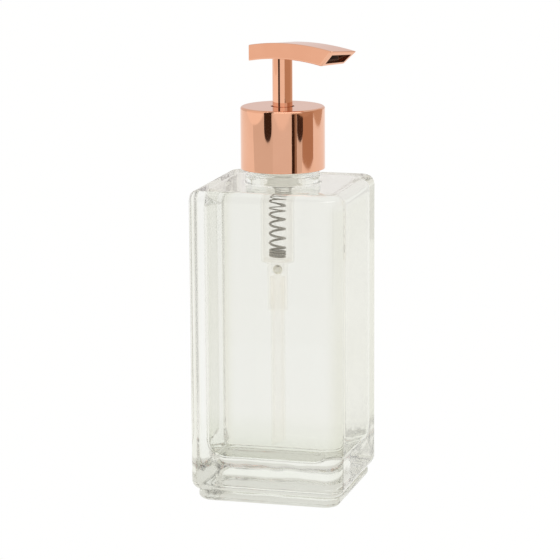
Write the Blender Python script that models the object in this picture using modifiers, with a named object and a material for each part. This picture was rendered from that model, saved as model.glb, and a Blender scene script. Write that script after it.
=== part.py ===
"""Square glass soap dispenser with a screw-on lotion pump, in metres, +Z up.

The origin is the centre of the bottle's base and the front face looks along -Y. Every turned piece
stands on the one vertical axis, so that axis is also the axis of each of the pump's joints.
"""

import math

import bmesh
import bpy
from mathutils import Matrix

MM = 0.001

# clearances
SEAT_GAP = 0.3 * MM
SLIDE_GAP = 0.3 * MM
SEAL_GAP = 0.15 * MM

# bottle
BOTTLE_WIDTH = 64.0 * MM
BOTTLE_HEIGHT = 128.3 * MM
SIDE_EDGE_RADIUS = 6.2 * MM
TOP_EDGE_RADIUS = 4.0 * MM
BASE_EDGE_RADIUS = 3.8 * MM
HEEL_HEIGHT = 4.4 * MM
HEEL_INSET = 2.2 * MM
HEEL_CORNER_RADIUS = 6.5 * MM
HEEL_EDGE_RADIUS = 2.0 * MM
GLASS_WALL = 5.3 * MM
GLASS_FLOOR = 17.0 * MM
GLASS_SHOULDER = 3.2 * MM
CAVITY_SIDE_RADIUS = 9.0 * MM
CAVITY_FLOOR_RADIUS = 7.0 * MM
CAVITY_CEILING_RADIUS = 4.0 * MM

# neck finish: 28 mm, one and a half turns, six threads to the inch
NECK_HEIGHT = 18.0 * MM
FINISH_RADIUS = 12.65 * MM
NECK_WALL = 3.15 * MM
BEAD_STEP = 2.65 * MM
BEAD_HEIGHT = 4.3 * MM
THREAD_PITCH = 4.23 * MM
THREAD_TURNS = 1.5
THREAD_RIB_RADIUS = 1.15 * MM
THREAD_START_DEPTH = 2.4 * MM

# closure
COLLAR_WALL = 0.5 * MM
COLLAR_EDGE_RADIUS = 0.9 * MM
COLLAR_BEAD_GAP = 1.6 * MM
STEM_HOLE_GAP = 0.7 * MM
BUSH_THICKNESS = 1.5 * MM
BUSH_WIDTH = 2.2 * MM
CAP_THREAD_GAP = 0.35 * MM
CAP_PLATE = 1.6 * MM
CAP_WALL = 2.25 * MM
CAP_CARRIER_WALL = 2.0 * MM
CAP_TURNS = 1.25

# pump housing
GASKET_THICKNESS = 1.0 * MM
HOUSING_WALL = 1.05 * MM
FLANGE_THICKNESS = 1.3 * MM
FLANGE_INSET = 0.45 * MM
RIM_WIDTH = 1.95 * MM
SOCKET_LENGTH = 19.0 * MM
VENT_RADIUS = 0.6 * MM

# guide sleeve
GUIDE_FLANGE_THICKNESS = 1.4 * MM
GUIDE_FLANGE_STEP = 1.9 * MM
GUIDE_WALL = 1.2 * MM
GUIDE_BOSS_WALL = 2.0 * MM
GUIDE_BOSS_HEIGHT = 4.1 * MM
GUIDE_NOSE_LENGTH = 6.7 * MM

# plunger
STROKE = 16.0 * MM
STEM_RADIUS = 3.3 * MM
STEM_WALL = 1.1 * MM
SHOULDER_INSET = 1.3 * MM
SHOULDER_LENGTH = 1.3 * MM
SLEEVE_WALL = 0.4 * MM
SLEEVE_GAP = 0.4 * MM
SLEEVE_TUCK = 2.2 * MM
PORT_RADIUS = 0.7 * MM
SEAL_LENGTH = 4.5 * MM
SEAL_PLAY = 1.2 * MM
PLUG_FLANGE_INSET = 1.5 * MM
PLUG_FLANGE_THICKNESS = 1.4 * MM
PLUG_PIN_LENGTH = 9.0 * MM
PLUG_RIB_THICKNESS = 0.9 * MM

# spring
SPRING_WIRE_RADIUS = 0.45 * MM
SPRING_OPEN_TURNS = 6
SPRING_CLOSED_TURNS = 1.25
SPRING_CLOSED_PITCH = 1.0 * MM
SPRING_PRESSED_LENGTH = 10.4 * MM

# inlet valve and dip tube
CAGE_THICKNESS = 0.9 * MM
CAGE_HOLE_RADIUS = 1.5 * MM
BALL_RADIUS = 2.0 * MM
BALL_LIFT = 1.2 * MM
BALL_CHAMBER_GAP = 0.75 * MM
THROAT_RADIUS = 1.5 * MM
SEAT_HEIGHT = 1.6 * MM
THROAT_LENGTH = 1.2 * MM
DIP_TUBE_RADIUS = 3.0 * MM
DIP_TUBE_WALL = 0.8 * MM
DIP_TUBE_FLOOR_GAP = 2.0 * MM

# head: a bar bowed along its length, with its spout end cut back at a slant
HEAD_REST_TURN = math.radians(-30)
HEAD_THICKNESS = 6.5 * MM
HEAD_REAR = 13.4 * MM
HEAD_FRONT_TOP = 34.4 * MM
HEAD_FRONT_BOTTOM = 28.2 * MM
HEAD_BOW_RADIUS = 129.0 * MM
HEAD_CREST = 11.0 * MM
HEAD_STOP_GAP = 1.8 * MM
HEAD_WALL = 1.3 * MM
HEAD_ROOF = 1.3 * MM
HEAD_EDGE_RADIUS = 0.5 * MM
HEAD_LIP_LENGTH = 3.2 * MM
PLATE_THICKNESS = 1.0 * MM
SPOUT_SIDE = 1.5 * MM
SPOUT_ROOF = 1.6 * MM
SPOUT_FLOOR = 1.05 * MM
DUCT_WALL = 0.7 * MM
DUCT_SETBACK = 4.0 * MM
CORE_WALL = 0.8 * MM
CORE_ROOF = 0.8 * MM

# facets
BIG_STEPS = 48
SMALL_STEPS = 32
COIL_STEPS = 14

# radii that follow from the sizes above
BORE_RADIUS = FINISH_RADIUS - NECK_WALL
BEAD_RADIUS = FINISH_RADIUS + BEAD_STEP
FLANGE_RADIUS = FINISH_RADIUS - FLANGE_INSET
CAP_BORE_RADIUS = FINISH_RADIUS + THREAD_RIB_RADIUS + CAP_THREAD_GAP
CAP_RADIUS = CAP_BORE_RADIUS + CAP_WALL
COLLAR_INNER_RADIUS = CAP_RADIUS + SEAT_GAP
COLLAR_RADIUS = COLLAR_INNER_RADIUS + COLLAR_WALL
STEM_BORE_RADIUS = STEM_RADIUS - STEM_WALL
SLEEVE_BORE = STEM_RADIUS + SLEEVE_GAP
SLEEVE_RADIUS = SLEEVE_BORE + SLEEVE_WALL
GUIDE_BORE = SLEEVE_RADIUS + SLIDE_GAP
GUIDE_RADIUS = GUIDE_BORE + GUIDE_WALL
HOUSING_BORE = GUIDE_RADIUS + SEAT_GAP
HOUSING_RADIUS = HOUSING_BORE + HOUSING_WALL
RIM_RADIUS = HOUSING_RADIUS + RIM_WIDTH
SHOULDER_RADIUS = HOUSING_BORE - SHOULDER_INSET
PLUG_FLANGE_RADIUS = HOUSING_BORE - PLUG_FLANGE_INSET
SPRING_RADIUS = HOUSING_BORE / 2
TUBE_SOCKET_BORE = DIP_TUBE_RADIUS + SEAL_GAP
SOCKET_RADIUS = TUBE_SOCKET_BORE + HOUSING_WALL
CORE_RADIUS = SLEEVE_RADIUS + CORE_WALL
HEAD_WIDTH = 2 * (CORE_RADIUS + SEAT_GAP + HEAD_WALL)
SPOUT_WIDTH = HEAD_WIDTH - 2 * SPOUT_SIDE

# levels that follow from the sizes above
CAVITY_FLOOR = GLASS_FLOOR
CAVITY_CEILING = BOTTLE_HEIGHT - GLASS_SHOULDER
BEAD_TOP = BOTTLE_HEIGHT + BEAD_HEIGHT
NECK_TOP = BOTTLE_HEIGHT + NECK_HEIGHT
GASKET_BOTTOM = NECK_TOP + SEAT_GAP
GASKET_TOP = GASKET_BOTTOM + GASKET_THICKNESS
FLANGE_BOTTOM = GASKET_TOP + SEAT_GAP
FLANGE_TOP = FLANGE_BOTTOM + FLANGE_THICKNESS
CAP_PLATE_BOTTOM = FLANGE_TOP + SEAT_GAP
CAP_PLATE_TOP = CAP_PLATE_BOTTOM + CAP_PLATE
RIM_TOP = CAP_PLATE_TOP
GUIDE_FLANGE_BOTTOM = RIM_TOP + SEAT_GAP
GUIDE_FLANGE_TOP = GUIDE_FLANGE_BOTTOM + GUIDE_FLANGE_THICKNESS
GUIDE_TOP = GUIDE_FLANGE_TOP + GUIDE_BOSS_HEIGHT
BUSH_BOTTOM = GUIDE_TOP + SEAT_GAP
BUSH_TOP = BUSH_BOTTOM + BUSH_THICKNESS
COLLAR_BOTTOM = BEAD_TOP + COLLAR_BEAD_GAP
COLLAR_TOP = BUSH_TOP + SEAT_GAP + COLLAR_WALL
SLEEVE_BOTTOM = COLLAR_TOP - SLEEVE_TUCK
GUIDE_NOSE_TOP = SLEEVE_BOTTOM - STROKE - SLIDE_GAP
GUIDE_BOTTOM = GUIDE_NOSE_TOP - GUIDE_NOSE_LENGTH
SHOULDER_TOP = GUIDE_BOTTOM - SEAT_GAP
SHOULDER_BOTTOM = SHOULDER_TOP - SHOULDER_LENGTH
SEAL_TOP = SHOULDER_BOTTOM - SEAL_PLAY
SEAL_BOTTOM = SEAL_TOP - SEAL_LENGTH
PLUG_FLANGE_TOP = SEAL_BOTTOM - SEAT_GAP
PLUG_FLANGE_BOTTOM = PLUG_FLANGE_TOP - PLUG_FLANGE_THICKNESS
STEM_BOTTOM = PLUG_FLANGE_TOP + SEAT_GAP
SPRING_TOP = PLUG_FLANGE_BOTTOM - SEAT_GAP
SPRING_BOTTOM = SPRING_TOP - STROKE - SPRING_PRESSED_LENGTH
CAGE_TOP = SPRING_BOTTOM - SEAT_GAP
CAGE_BOTTOM = CAGE_TOP - CAGE_THICKNESS
LEDGE = CAGE_BOTTOM - SEAT_GAP
BALL_CHAMBER_RADIUS = BALL_RADIUS + BALL_CHAMBER_GAP
SEAT_SLOPE = math.atan2(BALL_CHAMBER_RADIUS - THROAT_RADIUS, SEAT_HEIGHT)
BALL_TOP_AT_REST = LEDGE - BALL_LIFT - SEAT_GAP
BALL_CENTRE = BALL_TOP_AT_REST - BALL_RADIUS
SEAT_APEX = BALL_CENTRE - (BALL_RADIUS + SEAL_GAP) / math.sin(SEAT_SLOPE)
SEAT_BOTTOM = SEAT_APEX + THROAT_RADIUS / math.tan(SEAT_SLOPE)
SEAT_TOP = SEAT_BOTTOM + SEAT_HEIGHT
SOCKET_TOP = SEAT_BOTTOM - THROAT_LENGTH
HOUSING_BOTTOM = LEDGE - HOUSING_WALL
SOCKET_BOTTOM = HOUSING_BOTTOM - SOCKET_LENGTH
DIP_TUBE_TOP = SOCKET_TOP - SEAT_GAP
DIP_TUBE_BOTTOM = CAVITY_FLOOR + DIP_TUBE_FLOOR_GAP
HEAD_REAR_DROP = (HEAD_REAR + HEAD_CREST) ** 2 / (2 * HEAD_BOW_RADIUS)
HEAD_CREST_HEIGHT = COLLAR_TOP + STROKE + HEAD_STOP_GAP + HEAD_REAR_DROP + HEAD_THICKNESS


def bow(along):
    """Height of the head's upper surface at a distance along the head: a shallow circular bow."""
    return HEAD_CREST_HEIGHT - (along - HEAD_CREST) ** 2 / (2 * HEAD_BOW_RADIUS)


HEAD_UNDERSIDE = bow(0) - HEAD_THICKNESS
SLEEVE_TOP = HEAD_UNDERSIDE + PLATE_THICKNESS
CORE_BOTTOM = SLEEVE_TOP + SEAT_GAP
CORE_TOP = bow(-CORE_RADIUS) - HEAD_ROOF - SEAT_GAP
STEM_TOP = CORE_BOTTOM + SEAT_GAP


def clear_scene():
    for item in list(bpy.data.objects):
        bpy.data.objects.remove(item)


def make_collection(name):
    group = bpy.data.collections.new(name)
    bpy.context.scene.collection.children.link(group)
    return group


def make_material(name, colour, roughness, metallic=0.0, transmission=0.0):
    finish = bpy.data.materials.new(name)
    finish.use_nodes = True
    shader = finish.node_tree.nodes["Principled BSDF"]
    shader.inputs["Base Color"].default_value = (*colour, 1.0)
    shader.inputs["Roughness"].default_value = roughness
    shader.inputs["Metallic"].default_value = metallic
    shader.inputs["Transmission Weight"].default_value = transmission
    finish.diffuse_color = (*colour, 1.0)
    return finish


def clear_glass():
    return make_material("clear_glass", (0.93, 0.95, 0.92), 0.02, transmission=1.0)


def rose_gold():
    return make_material("rose_gold", (0.86, 0.55, 0.42), 0.12, metallic=1.0)


def spring_steel():
    return make_material("spring_steel", (0.55, 0.55, 0.56), 0.25, metallic=1.0)


def natural_plastic():
    return make_material("natural_plastic", (0.88, 0.88, 0.84), 0.35, transmission=0.5)


def white_plastic():
    return make_material("white_plastic", (0.90, 0.90, 0.88), 0.40)


def dark_plastic():
    return make_material("dark_plastic", (0.05, 0.035, 0.03), 0.45)


def soft_foam():
    return make_material("soft_foam", (0.85, 0.85, 0.82), 0.80)


def place(name, mesh, group, finish=None, parent=None):
    piece = bpy.data.objects.new(name, mesh)
    group.objects.link(piece)
    if finish is not None:
        mesh.materials.append(finish)
    if group.name == "cutters":
        piece.hide_render = True
        piece.display_type = "WIRE"
    if parent is not None:
        piece.parent = parent
    return piece


def arc(centre_radius, centre_z, radius, start, end, count=4):
    """Points on a circle in the (radius, z) plane between two angles in degrees."""
    points = []
    for step in range(count + 1):
        angle = math.radians(start + (end - start) * step / count)
        points.append((centre_radius + radius * math.cos(angle), centre_z + radius * math.sin(angle)))
    return points


def turned(name, profile, steps, group, finish=None, parent=None):
    """A profile turned about Z. It runs down the outer side, and back up the inner side of a ring."""
    mesh = bpy.data.meshes.new(name)
    edges = [(i, i + 1) for i in range(len(profile) - 1)]
    if profile[0][0] > 0:
        edges.append((len(profile) - 1, 0))
    mesh.from_pydata([(radius, 0, z) for radius, z in profile], edges, [])
    piece = place(name, mesh, group, finish, parent)
    screw = piece.modifiers.new("turn", "SCREW")
    screw.steps = steps
    screw.render_steps = steps
    screw.use_merge_vertices = True
    screw.merge_threshold = 0.00001
    screw.use_smooth_shade = True
    return piece


def curve_solid(name, curve, group, finish=None, parent=None, turn=None):
    """The closed mesh of a curve: its loose caps are welded, and the curve is removed."""
    guide = bpy.data.objects.new(name + "_guide", curve)
    bpy.context.scene.collection.objects.link(guide)
    seen = guide.evaluated_get(bpy.context.evaluated_depsgraph_get())
    mesh = bpy.data.meshes.new_from_object(seen)
    bpy.data.objects.remove(guide)
    if turn is not None:
        mesh.transform(turn)
    solid = bmesh.new()
    solid.from_mesh(mesh)
    bmesh.ops.remove_doubles(solid, verts=solid.verts, dist=0.000001)
    bmesh.ops.recalc_face_normals(solid, faces=solid.faces)
    solid.to_mesh(mesh)
    solid.free()
    mesh.name = name
    mesh.shade_smooth()
    mesh.set_sharp_from_angle(angle=math.radians(40))
    return place(name, mesh, group, finish, parent)


def round_wire(name, points, sizes, radius, group, finish=None, parent=None):
    """A round wire through the points. sizes gives its thickness at each point as a share of radius."""
    curve = bpy.data.curves.new(name, "CURVE")
    curve.dimensions = "3D"
    curve.bevel_depth = radius
    curve.bevel_resolution = 2
    curve.use_fill_caps = True
    spline = curve.splines.new("POLY")
    spline.points.add(len(points) - 1)
    for knot, point, size in zip(spline.points, points, sizes):
        knot.co = (*point, 1.0)
        knot.radius = size
    return curve_solid(name, curve, group, finish, parent)


def bar(name, outline, half_width, group, finish=None, parent=None):
    """A side outline of (along, z) points, carried across the head by half_width to each side."""
    curve = bpy.data.curves.new(name, "CURVE")
    curve.dimensions = "2D"
    curve.fill_mode = "BOTH"
    curve.extrude = half_width
    spline = curve.splines.new("POLY")
    spline.points.add(len(outline) - 1)
    spline.use_cyclic_u = True
    for knot, (along, z) in zip(spline.points, outline):
        knot.co = (along, z, 0.0, 1.0)
    upright = Matrix.Rotation(math.radians(90), 4, "X")
    return curve_solid(name, curve, group, finish, parent, upright)


def bowed_outline(rear, front_top, front_bottom, roof, floor, count=9):
    """Outline of a stretch of the head that keeps roof and floor to the head's upper and lower face."""
    upper = []
    lower = []
    for step in range(count):
        share = step / (count - 1)
        along = rear + (front_top - rear) * share
        upper.append((along, bow(along) - roof))
        along = front_bottom + (rear - front_bottom) * share
        lower.append((along, bow(along) - HEAD_THICKNESS + floor))
    return upper + lower


def rounded_block(name, width, bottom, top, side_radius, top_radius, base_radius, group, finish=None):
    """A square block with its upright edges rounded, then the edges round its top and its base."""
    solid = bmesh.new()
    bmesh.ops.create_cube(solid, size=1.0)
    bmesh.ops.scale(solid, vec=(width, width, top - bottom), verts=solid.verts)
    bmesh.ops.translate(solid, vec=(0, 0, (top + bottom) / 2), verts=solid.verts)
    middle = (top + bottom) / 2
    upright = [e for e in solid.edges if (e.verts[0].co.z - middle) * (e.verts[1].co.z - middle) < 0]
    round_edges(solid, upright, side_radius, 6)
    for level, radius in ((top, top_radius), (bottom, base_radius)):
        rim = [e for e in solid.edges if all(abs(v.co.z - level) < 0.000001 for v in e.verts)]
        round_edges(solid, rim, radius, 4)
    mesh = bpy.data.meshes.new(name)
    solid.to_mesh(mesh)
    solid.free()
    mesh.shade_smooth()
    mesh.set_sharp_from_angle(angle=math.radians(40))
    return place(name, mesh, group, finish)


def round_edges(solid, edges, radius, segments):
    bmesh.ops.bevel(
        solid, geom=edges, offset=radius, offset_type="OFFSET", segments=segments, profile=0.5, affect="EDGES"
    )


def block(name, size, centre, group, parent=None):
    solid = bmesh.new()
    bmesh.ops.create_cube(solid, size=1.0)
    bmesh.ops.scale(solid, vec=size, verts=solid.verts)
    bmesh.ops.translate(solid, vec=centre, verts=solid.verts)
    mesh = bpy.data.meshes.new(name)
    solid.to_mesh(mesh)
    solid.free()
    return place(name, mesh, group, parent=parent)


def cross_drill(name, radius, reach, height, group):
    """A drill along Y from -reach[0] to reach[1] at a height."""
    solid = bmesh.new()
    length = reach[0] + reach[1]
    bmesh.ops.create_cone(
        solid, cap_ends=True, segments=12, radius1=radius, radius2=radius, depth=length
    )
    bmesh.ops.rotate(solid, verts=solid.verts, cent=(0, 0, 0), matrix=Matrix.Rotation(math.radians(90), 3, "X"))
    bmesh.ops.translate(solid, vec=(0, (reach[1] - reach[0]) / 2, height), verts=solid.verts)
    mesh = bpy.data.meshes.new(name)
    solid.to_mesh(mesh)
    solid.free()
    return place(name, mesh, group)


def combine(piece, other, operation):
    step = piece.modifiers.new(operation.lower() + "_" + other.name, "BOOLEAN")
    step.operation = operation
    step.solver = "EXACT"
    step.object = other


def helix(radius, start_z, turns, pitch, start_angle=0.0, steps=24):
    """Points of a right-hand helix that climbs from start_z."""
    points = []
    count = round(turns * steps)
    for step in range(count + 1):
        turned_by = turns * step / count
        angle = start_angle + 2 * math.pi * turned_by
        points.append((radius * math.cos(angle), radius * math.sin(angle), start_z + pitch * turned_by))
    return points


def tapered_ends(count, run=3, least=0.35):
    """Thickness along a thread rib, which runs out gently at both ends."""
    sizes = []
    for step in range(count):
        nearest = min(step, count - 1 - step)
        sizes.append(min(1.0, least + (1.0 - least) * nearest / run))
    return sizes


def thread_angle(height):
    """Where on the turn the neck's thread, which ends at angle 0, passes a height."""
    return 2 * math.pi * (height - (NECK_TOP - THREAD_START_DEPTH)) / THREAD_PITCH


def make_bottle(parts, cutters, glass):
    """A thick-walled square bottle: block on a narrower heel, threaded neck, then cavity and bore."""
    bottle = rounded_block(
        "bottle", BOTTLE_WIDTH, HEEL_HEIGHT, BOTTLE_HEIGHT,
        SIDE_EDGE_RADIUS, TOP_EDGE_RADIUS, BASE_EDGE_RADIUS, parts, glass,
    )
    lap = 0.2 * MM
    heel = rounded_block(
        "heel", BOTTLE_WIDTH - 2 * HEEL_INSET, 0, HEEL_HEIGHT + lap,
        HEEL_CORNER_RADIUS, HEEL_EDGE_RADIUS, HEEL_EDGE_RADIUS, cutters,
    )
    bead_edge = 1.2 * MM
    lip = 0.8 * MM
    root = BOTTLE_HEIGHT - GLASS_SHOULDER / 2
    profile = [(0, NECK_TOP)]
    profile += arc(FINISH_RADIUS - lip, NECK_TOP - lip, lip, 90, 0, 2)
    profile += [(FINISH_RADIUS, BEAD_TOP)]
    profile += arc(BEAD_RADIUS - bead_edge, BEAD_TOP - bead_edge, bead_edge, 90, 0, 3)
    profile += [(BEAD_RADIUS, root), (0, root)]
    neck = turned("neck_blank", profile, BIG_STEPS, cutters)
    start_z = NECK_TOP - THREAD_START_DEPTH - THREAD_TURNS * THREAD_PITCH
    path = helix(FINISH_RADIUS, start_z, THREAD_TURNS, THREAD_PITCH, thread_angle(start_z))
    thread = round_wire("neck_thread", path, tapered_ends(len(path)), THREAD_RIB_RADIUS, cutters)
    cavity = rounded_block(
        "cavity", BOTTLE_WIDTH - 2 * GLASS_WALL, CAVITY_FLOOR, CAVITY_CEILING,
        CAVITY_SIDE_RADIUS, CAVITY_CEILING_RADIUS, CAVITY_FLOOR_RADIUS, cutters,
    )
    past = 2 * MM
    bore_profile = [
        (0, NECK_TOP + past), (BORE_RADIUS, NECK_TOP + past),
        (BORE_RADIUS, CAVITY_CEILING - past), (0, CAVITY_CEILING - past),
    ]
    bore = turned("neck_bore", bore_profile, BIG_STEPS, cutters)
    combine(neck, thread, "UNION")
    combine(bottle, heel, "UNION")
    combine(bottle, neck, "UNION")
    combine(cavity, bore, "UNION")
    combine(bottle, cavity, "DIFFERENCE")


def make_gasket(parts, foam):
    """Flat foam washer between the mouth of the neck and the pump's flange."""
    inner = HOUSING_RADIUS + SLIDE_GAP
    profile = [
        (FLANGE_RADIUS, GASKET_TOP), (FLANGE_RADIUS, GASKET_BOTTOM), (inner, GASKET_BOTTOM), (inner, GASKET_TOP),
    ]
    turned("neck_gasket", profile, SMALL_STEPS, parts, foam)


def make_threaded_cap(parts, cutters, plastic):
    """Inner screw cap: a skirt with the mating thread, a plate that holds the flange, and a carrier wall."""
    hole = RIM_RADIUS + SLIDE_GAP
    carrier = CAP_RADIUS - CAP_CARRIER_WALL
    top = COLLAR_TOP - COLLAR_WALL - SEAT_GAP
    bottom = COLLAR_BOTTOM + 0.4 * MM
    profile = [
        (CAP_RADIUS, top), (CAP_RADIUS, bottom), (CAP_BORE_RADIUS, bottom), (CAP_BORE_RADIUS, CAP_PLATE_BOTTOM),
        (hole, CAP_PLATE_BOTTOM), (hole, CAP_PLATE_TOP), (carrier, CAP_PLATE_TOP), (carrier, top),
    ]
    cap = turned("threaded_cap", profile, BIG_STEPS, parts, plastic)
    rib_radius = THREAD_RIB_RADIUS - 0.05 * MM
    start_z = bottom + rib_radius + 0.3 * MM
    start_angle = thread_angle(start_z + THREAD_PITCH / 2)
    path = helix(CAP_BORE_RADIUS + 0.05 * MM, start_z, CAP_TURNS, THREAD_PITCH, start_angle)
    thread = round_wire("cap_thread", path, tapered_ends(len(path)), rib_radius, cutters)
    combine(cap, thread, "UNION")


def make_collar_shell(parts, metal):
    """Thin metal cover over the screw cap, with a round hole for the stem."""
    outer = COLLAR_RADIUS
    inner = COLLAR_INNER_RADIUS
    hole = SLEEVE_RADIUS + STEM_HOLE_GAP
    edge = COLLAR_EDGE_RADIUS
    inner_edge = edge - COLLAR_WALL
    profile = [(hole, COLLAR_TOP)]
    profile += arc(outer - edge, COLLAR_TOP - edge, edge, 90, 0)
    profile += [(outer, COLLAR_BOTTOM), (inner, COLLAR_BOTTOM)]
    profile += arc(inner - inner_edge, COLLAR_TOP - COLLAR_WALL - inner_edge, inner_edge, 0, 90, 2)
    profile += [(hole, COLLAR_TOP - COLLAR_WALL)]
    turned("collar_shell", profile, BIG_STEPS, parts, metal)


def make_collar_bush(parts, plastic):
    """Plastic ring under the collar's top, which keeps the stem sleeve off the metal edge of the hole."""
    bore = SLEEVE_RADIUS + SLIDE_GAP
    outer = bore + BUSH_WIDTH
    profile = [(outer, BUSH_TOP), (outer, BUSH_BOTTOM), (bore, BUSH_BOTTOM), (bore, BUSH_TOP)]
    turned("collar_bush", profile, SMALL_STEPS, parts, plastic)


def make_housing(parts, cutters, plastic):
    """Pump body: flange on the neck, bore for the seal, ledge, valve seat, and socket for the dip tube."""
    profile = [
        (RIM_RADIUS, RIM_TOP), (RIM_RADIUS, FLANGE_TOP), (FLANGE_RADIUS, FLANGE_TOP),
        (FLANGE_RADIUS, FLANGE_BOTTOM), (HOUSING_RADIUS, FLANGE_BOTTOM),
        (HOUSING_RADIUS, LEDGE), (SOCKET_RADIUS, HOUSING_BOTTOM), (SOCKET_RADIUS, SOCKET_BOTTOM),
        (TUBE_SOCKET_BORE, SOCKET_BOTTOM), (TUBE_SOCKET_BORE, SOCKET_TOP), (THROAT_RADIUS, SOCKET_TOP),
        (THROAT_RADIUS, SEAT_BOTTOM), (BALL_CHAMBER_RADIUS, SEAT_TOP), (BALL_CHAMBER_RADIUS, LEDGE),
        (HOUSING_BORE, LEDGE), (HOUSING_BORE, RIM_TOP),
    ]
    housing = turned("pump_housing", profile, SMALL_STEPS, parts, plastic)
    vent_height = (SHOULDER_BOTTOM + SHOULDER_TOP) / 2
    vent = cross_drill("vent_drill", VENT_RADIUS, (0, HOUSING_RADIUS + 1 * MM), vent_height, cutters)
    combine(housing, vent, "DIFFERENCE")


def make_guide_sleeve(parts, plastic):
    """Snap-in guide that keeps the cap on the housing, steers the plunger and stops its rise."""
    flange = RIM_RADIUS + GUIDE_FLANGE_STEP
    boss = GUIDE_BORE + GUIDE_BOSS_WALL
    nose_bore = STEM_RADIUS + SLIDE_GAP
    profile = [
        (boss, GUIDE_TOP), (boss, GUIDE_FLANGE_TOP), (flange, GUIDE_FLANGE_TOP), (flange, GUIDE_FLANGE_BOTTOM),
        (GUIDE_RADIUS, GUIDE_FLANGE_BOTTOM), (GUIDE_RADIUS, GUIDE_BOTTOM), (nose_bore, GUIDE_BOTTOM),
        (nose_bore, GUIDE_NOSE_TOP), (GUIDE_BORE, GUIDE_NOSE_TOP), (GUIDE_BORE, GUIDE_TOP),
    ]
    turned("guide_sleeve", profile, SMALL_STEPS, parts, plastic)


def make_dip_tube(parts, cutters, plastic):
    """Suction tube down to the floor of the cavity, its lower end cut at a slant."""
    inner = DIP_TUBE_RADIUS - DIP_TUBE_WALL
    profile = [
        (DIP_TUBE_RADIUS, DIP_TUBE_TOP), (DIP_TUBE_RADIUS, DIP_TUBE_BOTTOM),
        (inner, DIP_TUBE_BOTTOM), (inner, DIP_TUBE_TOP),
    ]
    tube = turned("dip_tube", profile, SMALL_STEPS, parts, plastic)
    slope = math.radians(30)
    size = 6 * DIP_TUBE_RADIUS
    knife = block("tube_knife", (size, size, size), (0, 0, -size / 2), cutters)
    knife.rotation_euler = (0, slope, 0)
    knife.location = (0, 0, DIP_TUBE_BOTTOM + DIP_TUBE_RADIUS * math.tan(slope))
    combine(tube, knife, "DIFFERENCE")


def make_ball_cage(parts, plastic):
    """Ring on the housing's ledge that keeps the ball in its chamber and carries the spring."""
    outer = HOUSING_BORE - SEAT_GAP
    profile = [
        (outer, CAGE_TOP), (outer, CAGE_BOTTOM), (CAGE_HOLE_RADIUS, CAGE_BOTTOM), (CAGE_HOLE_RADIUS, CAGE_TOP),
    ]
    turned("ball_cage", profile, SMALL_STEPS, parts, plastic)


def make_inlet_ball(parts, steel):
    solid = bmesh.new()
    bmesh.ops.create_uvsphere(solid, u_segments=20, v_segments=10, radius=BALL_RADIUS)
    mesh = bpy.data.meshes.new("inlet_ball")
    solid.to_mesh(mesh)
    solid.free()
    mesh.shade_smooth()
    ball = place("inlet_ball", mesh, parts, steel)
    ball.location = (0, 0, BALL_CENTRE)


def make_spring(parts, steel):
    """Left-hand compression spring with closed coils at both ends."""
    low = SPRING_BOTTOM + SPRING_WIRE_RADIUS
    high = SPRING_TOP - SPRING_WIRE_RADIUS
    closed_rise = SPRING_CLOSED_TURNS * SPRING_CLOSED_PITCH
    open_pitch = (high - low - 2 * closed_rise) / SPRING_OPEN_TURNS
    stretches = (
        (SPRING_CLOSED_TURNS, SPRING_CLOSED_PITCH),
        (SPRING_OPEN_TURNS, open_pitch),
        (SPRING_CLOSED_TURNS, SPRING_CLOSED_PITCH),
    )
    points = []
    height = low
    angle = 0.0
    for turns, pitch in stretches:
        run = helix(SPRING_RADIUS, height, turns, pitch, angle, COIL_STEPS)
        points += run if not points else run[1:]
        height += turns * pitch
        angle += 2 * math.pi * turns
    left_hand = [(x, -y, z) for x, y, z in points]
    round_wire("return_spring", left_hand, [1.0] * len(points), SPRING_WIRE_RADIUS, parts, steel)


def make_piston_seal(parts, plastic):
    """Floating piston: a waisted ring with a lip at each end, free to slide a little on the stem."""
    lip = HOUSING_BORE - SEAL_GAP
    waist = lip - 0.9 * MM
    bore = STEM_RADIUS + SLIDE_GAP
    lip_length = 0.8 * MM
    slope = 0.6 * MM
    profile = [
        (lip, SEAL_TOP), (lip, SEAL_TOP - lip_length), (waist, SEAL_TOP - lip_length - slope),
        (waist, SEAL_BOTTOM + lip_length + slope), (lip, SEAL_BOTTOM + lip_length), (lip, SEAL_BOTTOM),
        (bore, SEAL_BOTTOM), (bore, SEAL_TOP),
    ]
    turned("piston_seal", profile, SMALL_STEPS, parts, plastic)


def make_inner_stem(parts, cutters, plastic):
    """Hollow stem from the plug up into the head, with a stop shoulder and a cross port at its foot."""
    profile = [
        (STEM_RADIUS, STEM_TOP), (STEM_RADIUS, SHOULDER_TOP), (SHOULDER_RADIUS, SHOULDER_TOP),
        (SHOULDER_RADIUS, SHOULDER_BOTTOM), (STEM_RADIUS, SHOULDER_BOTTOM), (STEM_RADIUS, STEM_BOTTOM),
        (STEM_BORE_RADIUS, STEM_BOTTOM), (STEM_BORE_RADIUS, STEM_TOP),
    ]
    stem = turned("inner_stem", profile, SMALL_STEPS, parts, plastic)
    reach = STEM_RADIUS + 1 * MM
    height = STEM_BOTTOM + PORT_RADIUS + 0.5 * MM
    port = cross_drill("port_drill", PORT_RADIUS, (reach, reach), height, cutters)
    combine(stem, port, "DIFFERENCE")


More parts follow.
